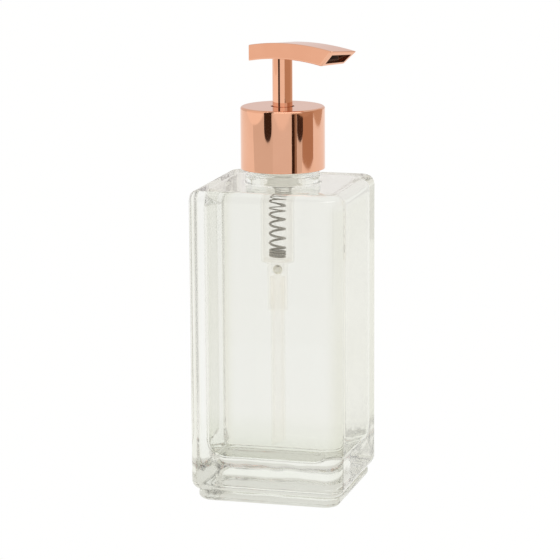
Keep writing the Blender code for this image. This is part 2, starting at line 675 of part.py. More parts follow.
def make_stem_plug(parts, cutters, plastic):
    """Plug under the stem: a flange that the spring lifts, and a cross-shaped pin in the stem's bore."""
    profile = [
        (0, PLUG_FLANGE_TOP), (PLUG_FLANGE_RADIUS, PLUG_FLANGE_TOP),
        (PLUG_FLANGE_RADIUS, PLUG_FLANGE_BOTTOM), (0, PLUG_FLANGE_BOTTOM),
    ]
    plug = turned("stem_plug", profile, SMALL_STEPS, parts, plastic)
    width = 2 * (STEM_BORE_RADIUS - SEAL_GAP)
    low = PLUG_FLANGE_TOP - PLUG_FLANGE_THICKNESS / 2
    high = PLUG_FLANGE_TOP + PLUG_PIN_LENGTH
    centre = (0, 0, (low + high) / 2)
    across = block("pin_rib_x", (width, PLUG_RIB_THICKNESS, high - low), centre, cutters)
    along = block("pin_rib_y", (PLUG_RIB_THICKNESS, width, high - low), centre, cutters)
    combine(across, along, "UNION")
    combine(plug, across, "UNION")


def make_stem_sleeve(parts, metal, head_axis):
    """Thin metal tube over the stem, from inside the collar up into the head."""
    profile = [
        (SLEEVE_RADIUS, SLEEVE_TOP), (SLEEVE_RADIUS, SLEEVE_BOTTOM),
        (SLEEVE_BORE, SLEEVE_BOTTOM), (SLEEVE_BORE, SLEEVE_TOP),
    ]
    turned("stem_sleeve", profile, SMALL_STEPS, parts, metal, head_axis)


def make_head_shell(parts, cutters, metal, head_axis):
    """Metal head: a bowed bar, hollow from below, with a rectangular spout in its slanted end."""
    outline = bowed_outline(-HEAD_REAR, HEAD_FRONT_TOP, HEAD_FRONT_BOTTOM, 0, 0)
    shell = bar("head_shell", outline, HEAD_WIDTH / 2, parts, metal, head_axis)
    rounding = shell.modifiers.new("edge_rounding", "BEVEL")
    rounding.width = HEAD_EDGE_RADIUS
    rounding.segments = 2
    rounding.limit_method = "ANGLE"
    rounding.angle_limit = math.radians(35)
    past = 2 * MM
    rear = -HEAD_REAR + HEAD_WALL
    front = HEAD_FRONT_BOTTOM - HEAD_LIP_LENGTH
    hollow = bowed_outline(rear, front, front, HEAD_ROOF, -past)
    pocket = bar("head_pocket", hollow, HEAD_WIDTH / 2 - HEAD_WALL, cutters, parent=head_axis)
    slot = bowed_outline(front - past, HEAD_FRONT_TOP + past, HEAD_FRONT_TOP + past, SPOUT_ROOF, SPOUT_FLOOR)
    spout = bar("spout_cut", slot, SPOUT_WIDTH / 2, cutters, parent=head_axis)
    combine(pocket, spout, "UNION")
    combine(shell, pocket, "DIFFERENCE")


def make_head_plate(parts, cutters, metal, head_axis):
    """Cover under the head, let in between its walls, with a hole for the stem sleeve."""
    rear = -HEAD_REAR + HEAD_WALL + SEAT_GAP
    front = HEAD_FRONT_BOTTOM - HEAD_LIP_LENGTH - SEAT_GAP
    outline = bowed_outline(rear, front, front, HEAD_THICKNESS - PLATE_THICKNESS, 0)
    plate = bar("head_plate", outline, HEAD_WIDTH / 2 - HEAD_WALL - SEAT_GAP, parts, metal, head_axis)
    radius = SLEEVE_RADIUS + SLIDE_GAP
    reach = 2 * PLATE_THICKNESS
    profile = [
        (0, HEAD_UNDERSIDE + reach), (radius, HEAD_UNDERSIDE + reach),
        (radius, HEAD_UNDERSIDE - reach), (0, HEAD_UNDERSIDE - reach),
    ]
    hole = turned("plate_drill", profile, SMALL_STEPS, cutters, parent=head_axis)
    combine(plate, hole, "DIFFERENCE")


def make_head_core(parts, cutters, plastic, head_axis):
    """Plastic core that caps the stem and turns its flow towards the spout."""
    socket = STEM_RADIUS + SEAT_GAP
    socket_top = CORE_TOP - CORE_ROOF
    foot = SLEEVE_RADIUS + SEAT_GAP
    profile = [
        (0, CORE_TOP), (CORE_RADIUS, CORE_TOP), (CORE_RADIUS, CORE_BOTTOM + 0.6 * MM),
        (foot, CORE_BOTTOM + 0.2 * MM), (socket, CORE_BOTTOM + 0.2 * MM), (socket, socket_top), (0, socket_top),
    ]
    core = turned("head_core", profile, SMALL_STEPS, parts, plastic, head_axis)
    height = 1.4 * MM
    length = CORE_RADIUS + 2 * MM
    centre = (length / 2, 0, socket_top - height / 2)
    outlet = block("core_outlet", (length, 4 * MM, height), centre, cutters, head_axis)
    combine(core, outlet, "DIFFERENCE")


def make_nozzle_duct(parts, cutters, plastic, head_axis):
    """Flat plastic duct that carries the soap from the core to the spout."""
    rear = CORE_RADIUS + SEAT_GAP
    front = HEAD_FRONT_BOTTOM - DUCT_SETBACK + HEAD_LIP_LENGTH
    roof = SPOUT_ROOF + SEAT_GAP
    floor = SPOUT_FLOOR + SEAT_GAP
    half = SPOUT_WIDTH / 2 - SEAT_GAP
    outline = bowed_outline(rear, front, front, roof, floor)
    duct = bar("nozzle_duct", outline, half, parts, plastic, head_axis)
    past = 1 * MM
    way = bowed_outline(rear - past, front + past, front + past, roof + DUCT_WALL, floor + DUCT_WALL)
    channel = bar("duct_channel", way, half - DUCT_WALL, cutters, parent=head_axis)
    combine(duct, channel, "DIFFERENCE")


def build():
    clear_scene()
    parts = make_collection("soap_pump_dispenser")
    cutters = make_collection("cutters")
    cutters.hide_render = True
    head_axis = bpy.data.objects.new("head_axis", None)
    parts.objects.link(head_axis)
    head_axis.rotation_euler = (0, 0, HEAD_REST_TURN)
    metal = rose_gold()
    steel = spring_steel()
    natural = natural_plastic()
    white = white_plastic()
    dark = dark_plastic()
    make_bottle(parts, cutters, clear_glass())
    make_gasket(parts, soft_foam())
    make_threaded_cap(parts, cutters, white)
    make_collar_shell(parts, metal)
    make_collar_bush(parts, dark)
    make_housing(parts, cutters, natural)
    make_guide_sleeve(parts, white)
    make_dip_tube(parts, cutters, natural)
    make_ball_cage(parts, natural)
    make_inlet_ball(parts, steel)
    make_spring(parts, steel)
    make_piston_seal(parts, white)
    make_inner_stem(parts, cutters, white)
    make_stem_plug(parts, cutters, white)
    make_stem_sleeve(parts, metal, head_axis)
    make_head_shell(parts, cutters, metal, head_axis)
    make_head_plate(parts, cutters, metal, head_axis)
    make_head_core(parts, cutters, dark, head_axis)
    make_nozzle_duct(parts, cutters, dark, head_axis)


build()
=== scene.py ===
import math

import bpy
import numpy as np
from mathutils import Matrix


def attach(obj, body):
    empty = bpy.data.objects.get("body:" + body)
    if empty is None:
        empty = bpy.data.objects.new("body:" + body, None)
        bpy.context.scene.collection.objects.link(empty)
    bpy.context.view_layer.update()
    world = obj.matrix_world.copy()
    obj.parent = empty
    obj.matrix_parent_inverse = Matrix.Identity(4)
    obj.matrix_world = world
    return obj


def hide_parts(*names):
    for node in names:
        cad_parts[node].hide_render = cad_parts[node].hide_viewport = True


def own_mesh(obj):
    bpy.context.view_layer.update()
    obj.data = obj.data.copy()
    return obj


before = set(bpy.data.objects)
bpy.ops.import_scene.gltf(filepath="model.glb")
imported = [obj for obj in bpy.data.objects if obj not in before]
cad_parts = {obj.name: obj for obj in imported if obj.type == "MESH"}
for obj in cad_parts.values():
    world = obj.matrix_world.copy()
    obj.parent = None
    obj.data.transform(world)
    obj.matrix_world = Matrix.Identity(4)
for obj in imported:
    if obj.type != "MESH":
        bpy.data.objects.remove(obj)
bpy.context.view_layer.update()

# Square glass soap dispenser with a rose-gold pump. Lengths are in millimetres until a mesh is made.
# Every turned piece stands on the Z axis, and the head's own length runs along "along" at the rest turn.

MM = 0.001
TAU = 2 * math.pi
SUPPORT = 0.25      # from a fillet's end to the point that keeps the shading flat beside it
EDGE_STEP = 0.3     # the same on the bottle's large faces
SEAT = 0.3          # gap between pieces that touch on the real pump

# Bottle
BOTTLE_HALF, BOTTLE_CORNER, FOOT_LEVEL, FOOT_ROUND = 32.0, 6.2, 8.2, 3.8
HEEL_HALF, HEEL_CORNER, HEEL_HEIGHT, HEEL_ROUND = 29.8, 6.5, 2.6, 2.0
SHOULDER, SHOULDER_ROUND = 128.3, 4.0
CAVITY_HALF, CAVITY_CORNER = 26.7, 9.0
CAVITY_FLOOR, FLOOR_ROUND = 17.0, 7.0
CAVITY_CEILING, CEILING_ROUND, MOUTH_ROUND = 125.1, 4.0, 1.5
BEAD_RADIUS, BEAD_TOP, BEAD_ROUND, BEAD_FOOT_ROUND = 15.3, 132.6, 1.1, 0.8
NECK_RADIUS, NECK_BORE, NECK_TOP = 12.65, 9.5, 146.3
NECK_FOOT_ROUND, LIP_OUTER_ROUND, LIP_INNER_ROUND = 0.5, 0.8, 0.6
WET_LEVEL = 134.0
GLASS_INDEX, WET_INDEX = 1.5, 1.13

# What is added to a half width for the corner radius of the square ring at that level
BODY_RULE = BOTTLE_CORNER - BOTTLE_HALF
HEEL_RULE = HEEL_CORNER - HEEL_HALF
CAVITY_RULE = CAVITY_CORNER - CAVITY_HALF

# Thread of the neck and the cap
PITCH = 4.23
THREAD_END = NECK_TOP - 2.4
NECK_TURNS, NECK_RIB_WIDTH, NECK_RIB_HEIGHT = 1.5, 1.35, 1.15
CAP_TURNS, CAP_RIB_WIDTH, CAP_RIB_HEIGHT = 1.25, 1.3, 1.0

# Closure
COLLAR_RADIUS, COLLAR_FOOT, COLLAR_TOP, COLLAR_WALL, COLLAR_HOLE = 17.2, 134.2, 159.5, 0.5, 4.8
CAP_RADIUS, CAP_TOP = COLLAR_RADIUS - COLLAR_WALL - SEAT, COLLAR_TOP - COLLAR_WALL - SEAT
CAP_FOOT, CAP_BORE, CAP_WEB = 134.6, 14.15, 149.5
BUSH_FOOT = 157.2

# Pump
FLANGE_RADIUS, FLANGE_FOOT, FLANGE_TOP = 12.2, 147.9, 149.2
HOUSING_RADIUS, HOUSING_BORE, HOUSING_TOP, LEDGE = 6.95, 5.9, 151.1, 97.1
TUBE_RADIUS, TUBE_BORE, TUBE_FOOT, TUBE_STOP = 3.0, 2.2, 20.73, 90.83
TUBE_CUT, TUBE_CUT_REACH = math.tan(math.radians(30)), 6.0
BALL_RADIUS, BALL_CENTRE = 2.0, 93.6
SPRING_RADIUS, SPRING_WIRE, SPRING_FOOT, SPRING_TOP = 3.1, 0.48, 98.6, 125.0
SPRING_FOOT_TURNS, SPRING_OPEN_TURNS, SPRING_TOP_TURNS = 2.75, 5.5, 1.25
SEAL_FOOT, SEAL_TOP, SEAL_LIP = 127.0, 131.5, HOUSING_BORE - 0.15
STEM_RADIUS, SLEEVE_RADIUS, SLEEVE_BORE, SLEEVE_FOOT, SLEEVE_TOP = 3.3, 4.1, 3.7, 157.3, 180.14

# Head
HEAD_TURN = math.radians(-30)
HEAD_REAR, HEAD_FRONT, HEAD_FOOT, HEAD_HALF, HEAD_DEPTH = 13.4, 34.4, 28.2, 6.5, 6.5
HEAD_CREST, HEAD_LEVEL, HEAD_BOW = 11.0, 186.108, 129.0
HEAD_EDGE, HEAD_CORNER, HEAD_RIM = 0.5, 0.9, 0.35
HEAD_WALL, HEAD_ROOF, HEAD_LIP = 1.3, 1.3, 3.2
POCKET_CORNER, POCKET_RIM, POCKET_ROUND = 0.6, 0.15, 0.3
SPOUT_HALF, SPOUT_ROOF, SPOUT_FLOOR = 5.0, 1.6, 1.05
PLATE_THICKNESS = 1.0
DUCT_REAR, DUCT_SETBACK, DUCT_WALL = 5.2, 4.0, 0.7


# ---------------------------------------------------------------- outlines

def arc(centre_r, centre_z, radius, start, end, count=8):
    """Points centre + radius (cos a, sin a), with a from start to end in degrees."""
    a = np.radians(np.linspace(start, end, count + 1))
    return np.stack([centre_r + radius * np.cos(a), centre_z + radius * np.sin(a)], -1)


def straight(start, end, count=2):
    """Points start + s (end - start) on the line between two corners, the outer ones SUPPORT from its ends."""
    start, end = np.array(start, float), np.array(end, float)
    length = np.linalg.norm(end - start)
    inset = min(SUPPORT, length / 4) / length
    share = np.linspace(inset, 1 - inset, count)[:, None]
    return start + share * (end - start)


def rounded(corners, count=6):
    """Closed outline of rows (r, z, fillet) with each corner rounded by its own fillet f.

    The arc touches both sides at f / tan(h) from the corner, and its centre lies on the bisector at
    f / sin(h), where h is half of the corner's angle. Two support points stand on each side."""
    rows = np.array(corners, float)
    corner, fillet = rows[:, :2], rows[:, 2]
    back = np.roll(corner, 1, 0) - corner
    on = np.roll(corner, -1, 0) - corner
    back /= np.linalg.norm(back, axis=1, keepdims=True)
    on /= np.linalg.norm(on, axis=1, keepdims=True)
    half = np.arccos(np.clip((back * on).sum(1), -1, 1)) / 2
    reach = fillet / np.tan(half)
    middle = back + on
    middle /= np.linalg.norm(middle, axis=1, keepdims=True)
    centre = corner + middle * (fillet / np.sin(half))[:, None]
    start, end = corner + back * reach[:, None], corner + on * reach[:, None]
    first = np.arctan2(*(start - centre).T[::-1])
    last = np.arctan2(*(end - centre).T[::-1])
    sweep = (last - first + math.pi) % TAU - math.pi
    angle = first[:, None] + sweep[:, None] * np.linspace(0, 1, count + 1)
    bends = centre[:, None] + fillet[:, None, None] * np.stack([np.cos(angle), np.sin(angle)], -1)
    following = np.roll(start, -1, 0)
    side = following - end
    length = np.linalg.norm(side, axis=1, keepdims=True)
    inset = np.minimum(SUPPORT, length / 3) / length
    supports = np.stack([end + side * inset, following - side * inset], 1)
    points = np.concatenate([bends, supports], 1).reshape(-1, 2)
    step = np.linalg.norm(np.diff(points, axis=0, prepend=points[-1:]), axis=1)
    return points[step > 1e-4]


# ---------------------------------------------------------------- meshes

def piece(name, points, faces, finish, body, slot, *nodes):
    """One object at the origin from points in millimetres. Faces are turned outwards if they enclose less
    than no volume, the sum of a . (b x c) / 6 over their triangles."""
    points = np.asarray(points, float).reshape(-1, 3)
    fans = [np.stack([f[:, [0, i, i + 1]] for i in range(1, f.shape[1] - 1)], 1).reshape(-1, 3) for f in faces]
    tri = points[np.concatenate(fans)]
    if np.einsum("ij,ij->i", tri[:, 0], np.cross(tri[:, 1], tri[:, 2])).sum() < 0:
        faces = [f[:, ::-1] for f in faces]
    mesh = bpy.data.meshes.new(name)
    mesh.from_pydata((points * MM).tolist(), [], [row for f in faces for row in f.tolist()])
    mesh.shade_smooth()
    mesh.set_sharp_from_angle(angle=math.radians(42))
    mesh.materials.append(finish)
    made = bpy.data.objects.new(name, mesh)
    bpy.context.scene.collection.objects.link(made)
    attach(made, body)
    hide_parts(*nodes)
    return made


def torus_faces(rows, columns, first=0):
    """Quads between neighbours of a grid that closes both ways."""
    index = first + np.arange(rows * columns).reshape(rows, columns)
    beside, under = np.roll(index, -1, 1), np.roll(index, -1, 0)
    return np.stack([index, beside, np.roll(beside, -1, 0), under], -1).reshape(-1, 4)


def ring_solid(name, grid, *rest):
    """A grid (rows, columns, 3) that closes both ways: a ring or a sleeve."""
    return piece(name, grid, [torus_faces(*grid.shape[:2])], *rest)


def capped_solid(name, grid, *rest):
    """A grid (rows, columns, 3) whose columns close, and whose first and last row shrink to one point each."""
    rows, columns = grid.shape[0] - 2, grid.shape[1]
    index = 1 + np.arange(rows * columns).reshape(rows, columns)
    beside = np.roll(index, -1, 1)
    quads = np.stack([index[:-1], beside[:-1], beside[1:], index[1:]], -1).reshape(-1, 4)
    start = np.stack([np.zeros(columns, int), beside[0], index[0]], -1)
    last = 1 + rows * columns
    end = np.stack([np.full(columns, last), index[-1], beside[-1]], -1)
    points = np.concatenate([grid[0].mean(0)[None], grid[1:-1].reshape(-1, 3), grid[-1].mean(0)[None]])
    return piece(name, points, [quads, start, end], *rest)


def revolve(outline, steps=144):
    """Grid with (r cos a, r sin a, z) for each outline point (r, z) and each angle a."""
    a = np.linspace(0, TAU, steps, endpoint=False)
    r, z = outline[:, :1], outline[:, 1:]
    return np.stack([r * np.cos(a), r * np.sin(a), z + 0 * a], -1)


def turned_ring(name, corners, *rest, steps=144):
    """A closed outline of rows (r, z, fillet) turned about Z: (r cos a, r sin a, z)."""
    return ring_solid(name, revolve(rounded(corners), steps), *rest)


def square_reach(half, corner, a):
    """Distance from the axis to a square of half width h with corner radius c, in direction a.

    With f the angle from the nearest side's middle and k = h - c it is h / cos f on the side, and
    k (cos f + sin f) + sqrt(c^2 - k^2 (cos f - sin f)^2) on the corner's arc."""
    f = np.abs((a + math.pi / 4) % (math.pi / 2) - math.pi / 4)
    k = half - corner
    bend = k * (np.cos(f) + np.sin(f)) + np.sqrt(np.maximum(corner**2 - (k * (np.cos(f) - np.sin(f))) ** 2, 0))
    return np.where(half * np.tan(f) <= k, half / np.cos(f), bend)


def smooth(x):
    """3 x^2 - 2 x^3 between 0 and 1."""
    x = np.clip(x, 0, 1)
    return x * x * (3 - 2 * x)


def helix_rib(a, z, start_z, start_angle, turns, width, height):
    """Height of a thread rib at angle a and level z.

    The rib's crest climbs as start_z + PITCH t with t turns counted from start_angle. Across it the height
    is a smooth hump of the given width, and it runs out over about the first and last eighth of a turn."""
    t = ((a - start_angle) / TAU) % 1 + np.arange(math.ceil(turns) + 1)[:, None, None]
    across = 1 - np.abs(z - (start_z + PITCH * t)) / width
    ends = smooth(t / 0.12) * smooth((turns - t) / 0.12)
    return (height * smooth(across * 1.35) * ends).max(0)


# ---------------------------------------------------------------- materials

class Value:
    """A node's output socket. Adding to it or multiplying it writes a Math node."""

    def __init__(self, graph, socket):
        self.graph = graph
        self.socket = socket

    def _math(self, operation, a, b):
        """A Math node on two sockets or numbers."""
        return self.graph.node("ShaderNodeMath", {"operation": operation}, {0: a, 1: b})

    def __add__(self, other):
        return self._math("ADD", self, other)

    def __radd__(self, other):
        return self._math("ADD", other, self)

    def __mul__(self, other):
        return self._math("MULTIPLY", self, other)

    def __rmul__(self, other):
        return self._math("MULTIPLY", other, self)


class Graph:
    """The node tree of one material."""

    def __init__(self, name):
        """Starts a material with no nodes."""
        self.material = bpy.data.materials.new(name)
        self.material.use_nodes = True
        self.tree = self.material.node_tree
        self.tree.nodes.clear()

    def node(self, kind, settings=None, sockets=None, out=0):
        """Any node: its type, its settings first, then its input sockets by name or number."""
        made = self.tree.nodes.new(kind)
        for key, setting in (settings or {}).items():
            setattr(made, key, setting)
        for key, given in (sockets or {}).items():
            if isinstance(given, Value):
                self.tree.links.new(given.socket, made.inputs[key])
            else:
                made.inputs[key].default_value = given
        return Value(self, made.outputs[out])

    def place(self):
        """Where a point lies on its piece, in metres."""
        return self.node("ShaderNodeTexCoord", out="Object")

    def noise(self, scale, detail=2.0, roughness=0.5, stretch=(1, 1, 1)):
        """Cloudy values round 0.5, scale clouds to the metre; an axis stretched below 1 draws them out."""
        spot = self.node("ShaderNodeMapping", sockets={"Vector": self.place(), "Scale": stretch})
        return self.node("ShaderNodeTexNoise", sockets={"Vector": spot, "Scale": scale, "Detail": detail,
                                                        "Roughness": roughness})

    def height(self):
        """Level above the base."""
        return self.node("ShaderNodeSeparateXYZ", sockets={0: self.place()}, out="Z")

    def distance(self, axis):
        """How far a point lies from the plane through the origin square to an axis."""
        along = self.node("ShaderNodeSeparateXYZ", sockets={0: self.place()}, out=axis)
        return self.node("ShaderNodeMath", {"operation": "ABSOLUTE"}, {0: along})

    def ramp(self, value, low, high):
        """A smooth step from 0 at low to 1 at high."""
        settings = {"interpolation_type": "SMOOTHSTEP"}
        return self.node("ShaderNodeMapRange", settings, {0: value, 1: low, 2: high})

    def blend(self, share, first, second):
        """A colour between two: the first at share 0, the second at share 1."""
        first, second = (c if isinstance(c, Value) else (*c, 1.0) for c in (first, second))
        return self.node("ShaderNodeMix", {"data_type": "RGBA"}, {0: share, 6: first, 7: second}, out=2)

    def bump(self, height, strength, distance):
        """A normal tilted by a height; distance is the height's size in metres."""
        sockets = {"Height": height, "Strength": strength, "Distance": distance}
        return self.node("ShaderNodeBump", sockets=sockets)

    def principled(self, **sockets):
        """The main shader, with its inputs by name and _ for each space."""
        named = {key.replace("_", " "): given for key, given in sockets.items()}
        return self.node("ShaderNodeBsdfPrincipled", sockets=named)

    def output(self, shader):
        """The finished material, whose surface is the given shader."""
        end = self.tree.nodes.new("ShaderNodeOutputMaterial")
        self.tree.links.new(shader.socket, end.inputs["Surface"])
        return self.material


def glass(name, index):
    """Clear pressed glass: warm grey-green on the side faces and in the thick foot, with slow waves and less
    polish towards the foot.

    index is the glass's refractive index over that of what lies against it."""
    g = Graph(name)
    waves = g.noise(26, 0.0)
    foot = g.ramp(g.height(), 0.030, 0.014)
    side = g.ramp(g.distance("X"), 0.0250, 0.0314) * g.ramp(g.height(), 0.1275, 0.1200)
    tint = g.blend(foot, (0.922, 0.924, 0.900), (0.85, 0.868, 0.80))
    tint = g.blend(side, tint, (0.805, 0.800, 0.705))
    streak = g.blend(g.ramp(waves, 0.35, 0.75) * 0.3, tint, (0.93, 0.925, 0.89))
    rough = 0.012 + foot * 0.06 + g.ramp(g.noise(400, 3.0), 0.62, 0.9) * 0.02
    ripple = waves * (0.2 + 0.8 * foot) + g.noise(75, 1.0) * foot * 2.2
    return g.output(g.principled(
        Base_Color=streak, Roughness=rough, IOR=index, Transmission_Weight=1.0,
        Normal=g.bump(ripple, 0.10, 0.002)))


def rose_gold():
    """Polished rose-gold plating: a mirror with faint polishing lines and a trace of haze."""
    g = Graph("rose_gold_fine")
    cloud = g.noise(55, 3.0)
    colour = g.blend(g.ramp(cloud, 0.3, 0.7), (0.815, 0.435, 0.285), (0.845, 0.465, 0.31))
    polish = g.noise(900, 2.0, 0.5, (1, 1, 0.12))
    rough = 0.032 + g.ramp(cloud, 0.35, 0.8) * 0.02 + g.ramp(polish, 0.5, 0.9) * 0.014
    return g.output(g.principled(
        Base_Color=colour, Roughness=rough, Metallic=1.0, Normal=g.bump(polish, 0.02, 0.0002)))


def steel_wire():
    """Drawn spring wire: grey-brown steel with lines along the wire and darker specks."""
    g = Graph("spring_steel_fine")
    lines = g.noise(1500, 2.0, 0.6)
    colour = g.blend(g.ramp(lines, 0.35, 0.7), (0.30, 0.285, 0.26), (0.44, 0.42, 0.39))
    rough = 0.26 + g.ramp(lines, 0.3, 0.8) * 0.14
    return g.output(g.principled(
        Base_Color=colour, Roughness=rough, Metallic=1.0, Normal=g.bump(lines, 0.08, 0.0002)))


def natural_plastic():
    """Unpigmented polypropylene: seen through face on, warmer and milkier where the eye grazes it, with a
    painted glow: emission in its own colour that lightens it, though it is no lamp."""
    g = Graph("natural_plastic_fine")
    cloud = g.noise(160, 3.0)
    rim = g.node("ShaderNodeLayerWeight", sockets={"Blend": 0.25}, out="Facing")
    colour = g.blend(g.ramp(cloud, 0.3, 0.7), (0.95, 0.90, 0.79), (0.97, 0.93, 0.84))
    alpha = 0.05 + rim * 0.20 + g.ramp(cloud, 0.4, 0.8) * 0.02
    rough = 0.28 + g.ramp(cloud, 0.3, 0.8) * 0.1
    # The emission is painted glow that lightens the plastic; it is no lamp.
    return g.output(g.principled(
        Base_Color=colour, Roughness=rough, Alpha=alpha, IOR=1.49, Emission_Color=colour,
        Emission_Strength=0.28, Normal=g.bump(cloud, 0.05, 0.0004)))


def polished_ball():
    """Bright ground steel with a faint mottle."""
    g = Graph("ball_steel_fine")
    cloud = g.noise(500, 2.0)
    colour = g.blend(g.ramp(cloud, 0.3, 0.7), (0.90, 0.89, 0.84), (0.96, 0.95, 0.91))
    return g.output(g.principled(
        Base_Color=colour, Roughness=0.34 + g.ramp(cloud, 0.3, 0.8) * 0.08, Metallic=1.0,
        Normal=g.bump(cloud, 0.03, 0.0002)))


def moulded_plastic(name, light, dark, roughness, painted_glow=0.0):
    """Moulded plastic: a soft sheen with the fine grain of the mould. The last argument is painted glow:
    emission in the plastic's own colour that lightens it, though it is no lamp.
    """
    g = Graph(name)
    cloud, grain = g.noise(120, 3.0), g.noise(2600, 2.0)
    colour = g.blend(g.ramp(cloud, 0.3, 0.75), light, dark)
    rough = roughness + g.ramp(grain, 0.3, 0.8) * 0.12
    # Emission Strength is painted glow that lightens the plastic; it is no lamp.
    return g.output(g.principled(
        Base_Color=colour, Roughness=rough, IOR=1.49, Emission_Color=colour, Emission_Strength=painted_glow,
        Normal=g.bump(grain, 0.10, 0.0001)))


def foam():
    """Closed-cell foam: small round cells pressed into a chalky surface, with painted shade in each cell's
    hollow.
    """
    g = Graph("soft_foam_fine")
    cells = g.node("ShaderNodeTexVoronoi", sockets={"Vector": g.place(), "Scale": 2400.0})
    # Painted shade: the colour is darkest at each cell's centre, where the bump presses the hollow.
    colour = g.blend(g.ramp(cells, 0.1, 0.6), (0.78, 0.78, 0.74), (0.88, 0.88, 0.85))
    rough = 0.75 + g.ramp(cells, 0.1, 0.7) * 0.15
    return g.output(g.principled(
        Base_Color=colour, Roughness=rough, Normal=g.bump(cells, 0.4, 0.0003)))


# ---------------------------------------------------------------- bottle

def bottle_directions():
    """Angles round the bottle: close together on the corners, and with every tangent point among them."""
    tangents = np.array([-BODY_RULE / BOTTLE_HALF, -CAVITY_RULE / CAVITY_HALF, -HEEL_RULE / HEEL_HALF])
    eighth = np.concatenate([np.linspace(0, 32, 15), np.linspace(33, 45, 15), np.degrees(np.arctan(tangents))])
    eighth = np.unique(np.round(eighth, 4))
    quarter = np.concatenate([eighth, 90 - eighth[1:-1][::-1]])
    quarter = np.unique(np.round(quarter, 4))
    return np.radians(np.concatenate([quarter[quarter < 90] + 90 * k for k in range(4)]))


def bottle_outline():
    """Rows (half width, z, roundness, corner rule) from the base's centre round to the cavity floor's centre.

    Roundness 0 is a square ring, 1 a circle. The corner rule is what is added to the half width for the
    radius of a square ring's corners."""
    base = HEEL_HALF - HEEL_ROUND
    top, top_edge = BOTTLE_HALF - SHOULDER_ROUND, SHOULDER - SHOULDER_ROUND
    bead, bead_low, bead_high = BEAD_RADIUS + BEAD_FOOT_ROUND, SHOULDER + BEAD_FOOT_ROUND, BEAD_TOP - BEAD_ROUND
    neck, neck_low = NECK_RADIUS + NECK_FOOT_ROUND, BEAD_TOP + NECK_FOOT_ROUND
    lip, lip_edge = NECK_RADIUS - LIP_OUTER_ROUND, NECK_TOP - LIP_OUTER_ROUND
    bore, bore_top = NECK_BORE + LIP_INNER_ROUND, NECK_TOP - LIP_INNER_ROUND
    mouth, mouth_edge = NECK_BORE + MOUTH_ROUND, CAVITY_CEILING + MOUTH_ROUND
    ceiling, ceiling_edge = CAVITY_HALF - CEILING_ROUND, CAVITY_CEILING - CEILING_ROUND
    floor, floor_edge = CAVITY_HALF - FLOOR_ROUND, CAVITY_FLOOR + FLOOR_ROUND
    on_top, on_ceiling = top - EDGE_STEP, ceiling - EDGE_STEP
    square, circle, between = 0, 1, None
    outside = [
        (arc(BOTTLE_HALF - FOOT_ROUND, FOOT_LEVEL, FOOT_ROUND, -80, 0, 9), square),
        (straight((BOTTLE_HALF, FOOT_LEVEL), (BOTTLE_HALF, top_edge), 8), square),
        (arc(top, top_edge, SHOULDER_ROUND, 0, 90, 10), square),
        (np.array([[on_top, SHOULDER]]), square),
        (straight((on_top, SHOULDER), (bead, SHOULDER), 9)[1:-1], between),
        (arc(bead, bead_low, BEAD_FOOT_ROUND, -90, -180, 5), circle),
        (straight((BEAD_RADIUS, bead_low), (BEAD_RADIUS, bead_high)), circle),
        (arc(BEAD_RADIUS - BEAD_ROUND, bead_high, BEAD_ROUND, 0, 90, 6), circle),
        (arc(neck, neck_low, NECK_FOOT_ROUND, -90, -180, 4), circle),
        (straight((NECK_RADIUS, neck_low), (NECK_RADIUS, lip_edge), 44), circle),
        (arc(lip, lip_edge, LIP_OUTER_ROUND, 0, 90, 6), circle),
    ]
    inside = [
        (arc(bore, bore_top, LIP_INNER_ROUND, 90, 180, 5), circle),
        (straight((NECK_BORE, bore_top), (NECK_BORE, mouth_edge), 8), circle),
        (arc(mouth, mouth_edge, MOUTH_ROUND, 180, 270, 6), circle),
        (straight((mouth, CAVITY_CEILING), (on_ceiling, CAVITY_CEILING), 9)[1:-1], between),
        (np.array([[on_ceiling, CAVITY_CEILING]]), square),
        (arc(ceiling, ceiling_edge, CEILING_ROUND, 90, 0, 10), square),
        (straight((CAVITY_HALF, ceiling_edge), (CAVITY_HALF, floor_edge), 8), square),
        (arc(floor, floor_edge, FLOOR_ROUND, 0, -90, 12), square),
        (np.array([[r, CAVITY_FLOOR] for r in (floor - EDGE_STEP, 12, 6, 0)]), square),
    ]
    heel = [
        (np.array([[r, 0] for r in (0, 14, base - EDGE_STEP)]), square),
        (arc(base, HEEL_ROUND, HEEL_ROUND, -90, 0, 7), square),
        (arc(base, HEEL_HEIGHT, HEEL_ROUND, 0, 60, 5), square),
    ]
    ruled = ((heel, HEEL_RULE), (outside, BODY_RULE), (inside, CAVITY_RULE))
    runs = [(run, roundness, rule) for group, rule in ruled for run, roundness in group]
    rows = []
    for run, roundness, rule in runs:
        if roundness is between:
            inwards = run[0, 0] > run[-1, 0]
            roundness = smooth(np.linspace(not inwards, inwards, len(run) + 2)[1:-1])
        rows.append(np.column_stack([run, np.full(len(run), roundness), np.full(len(run), rule)]))
    rows = np.concatenate(rows).astype(float)
    step = np.linalg.norm(np.diff(rows[:, :2], axis=0, prepend=rows[:1, :2] - 1), axis=1)
    return rows[step > 1e-4]


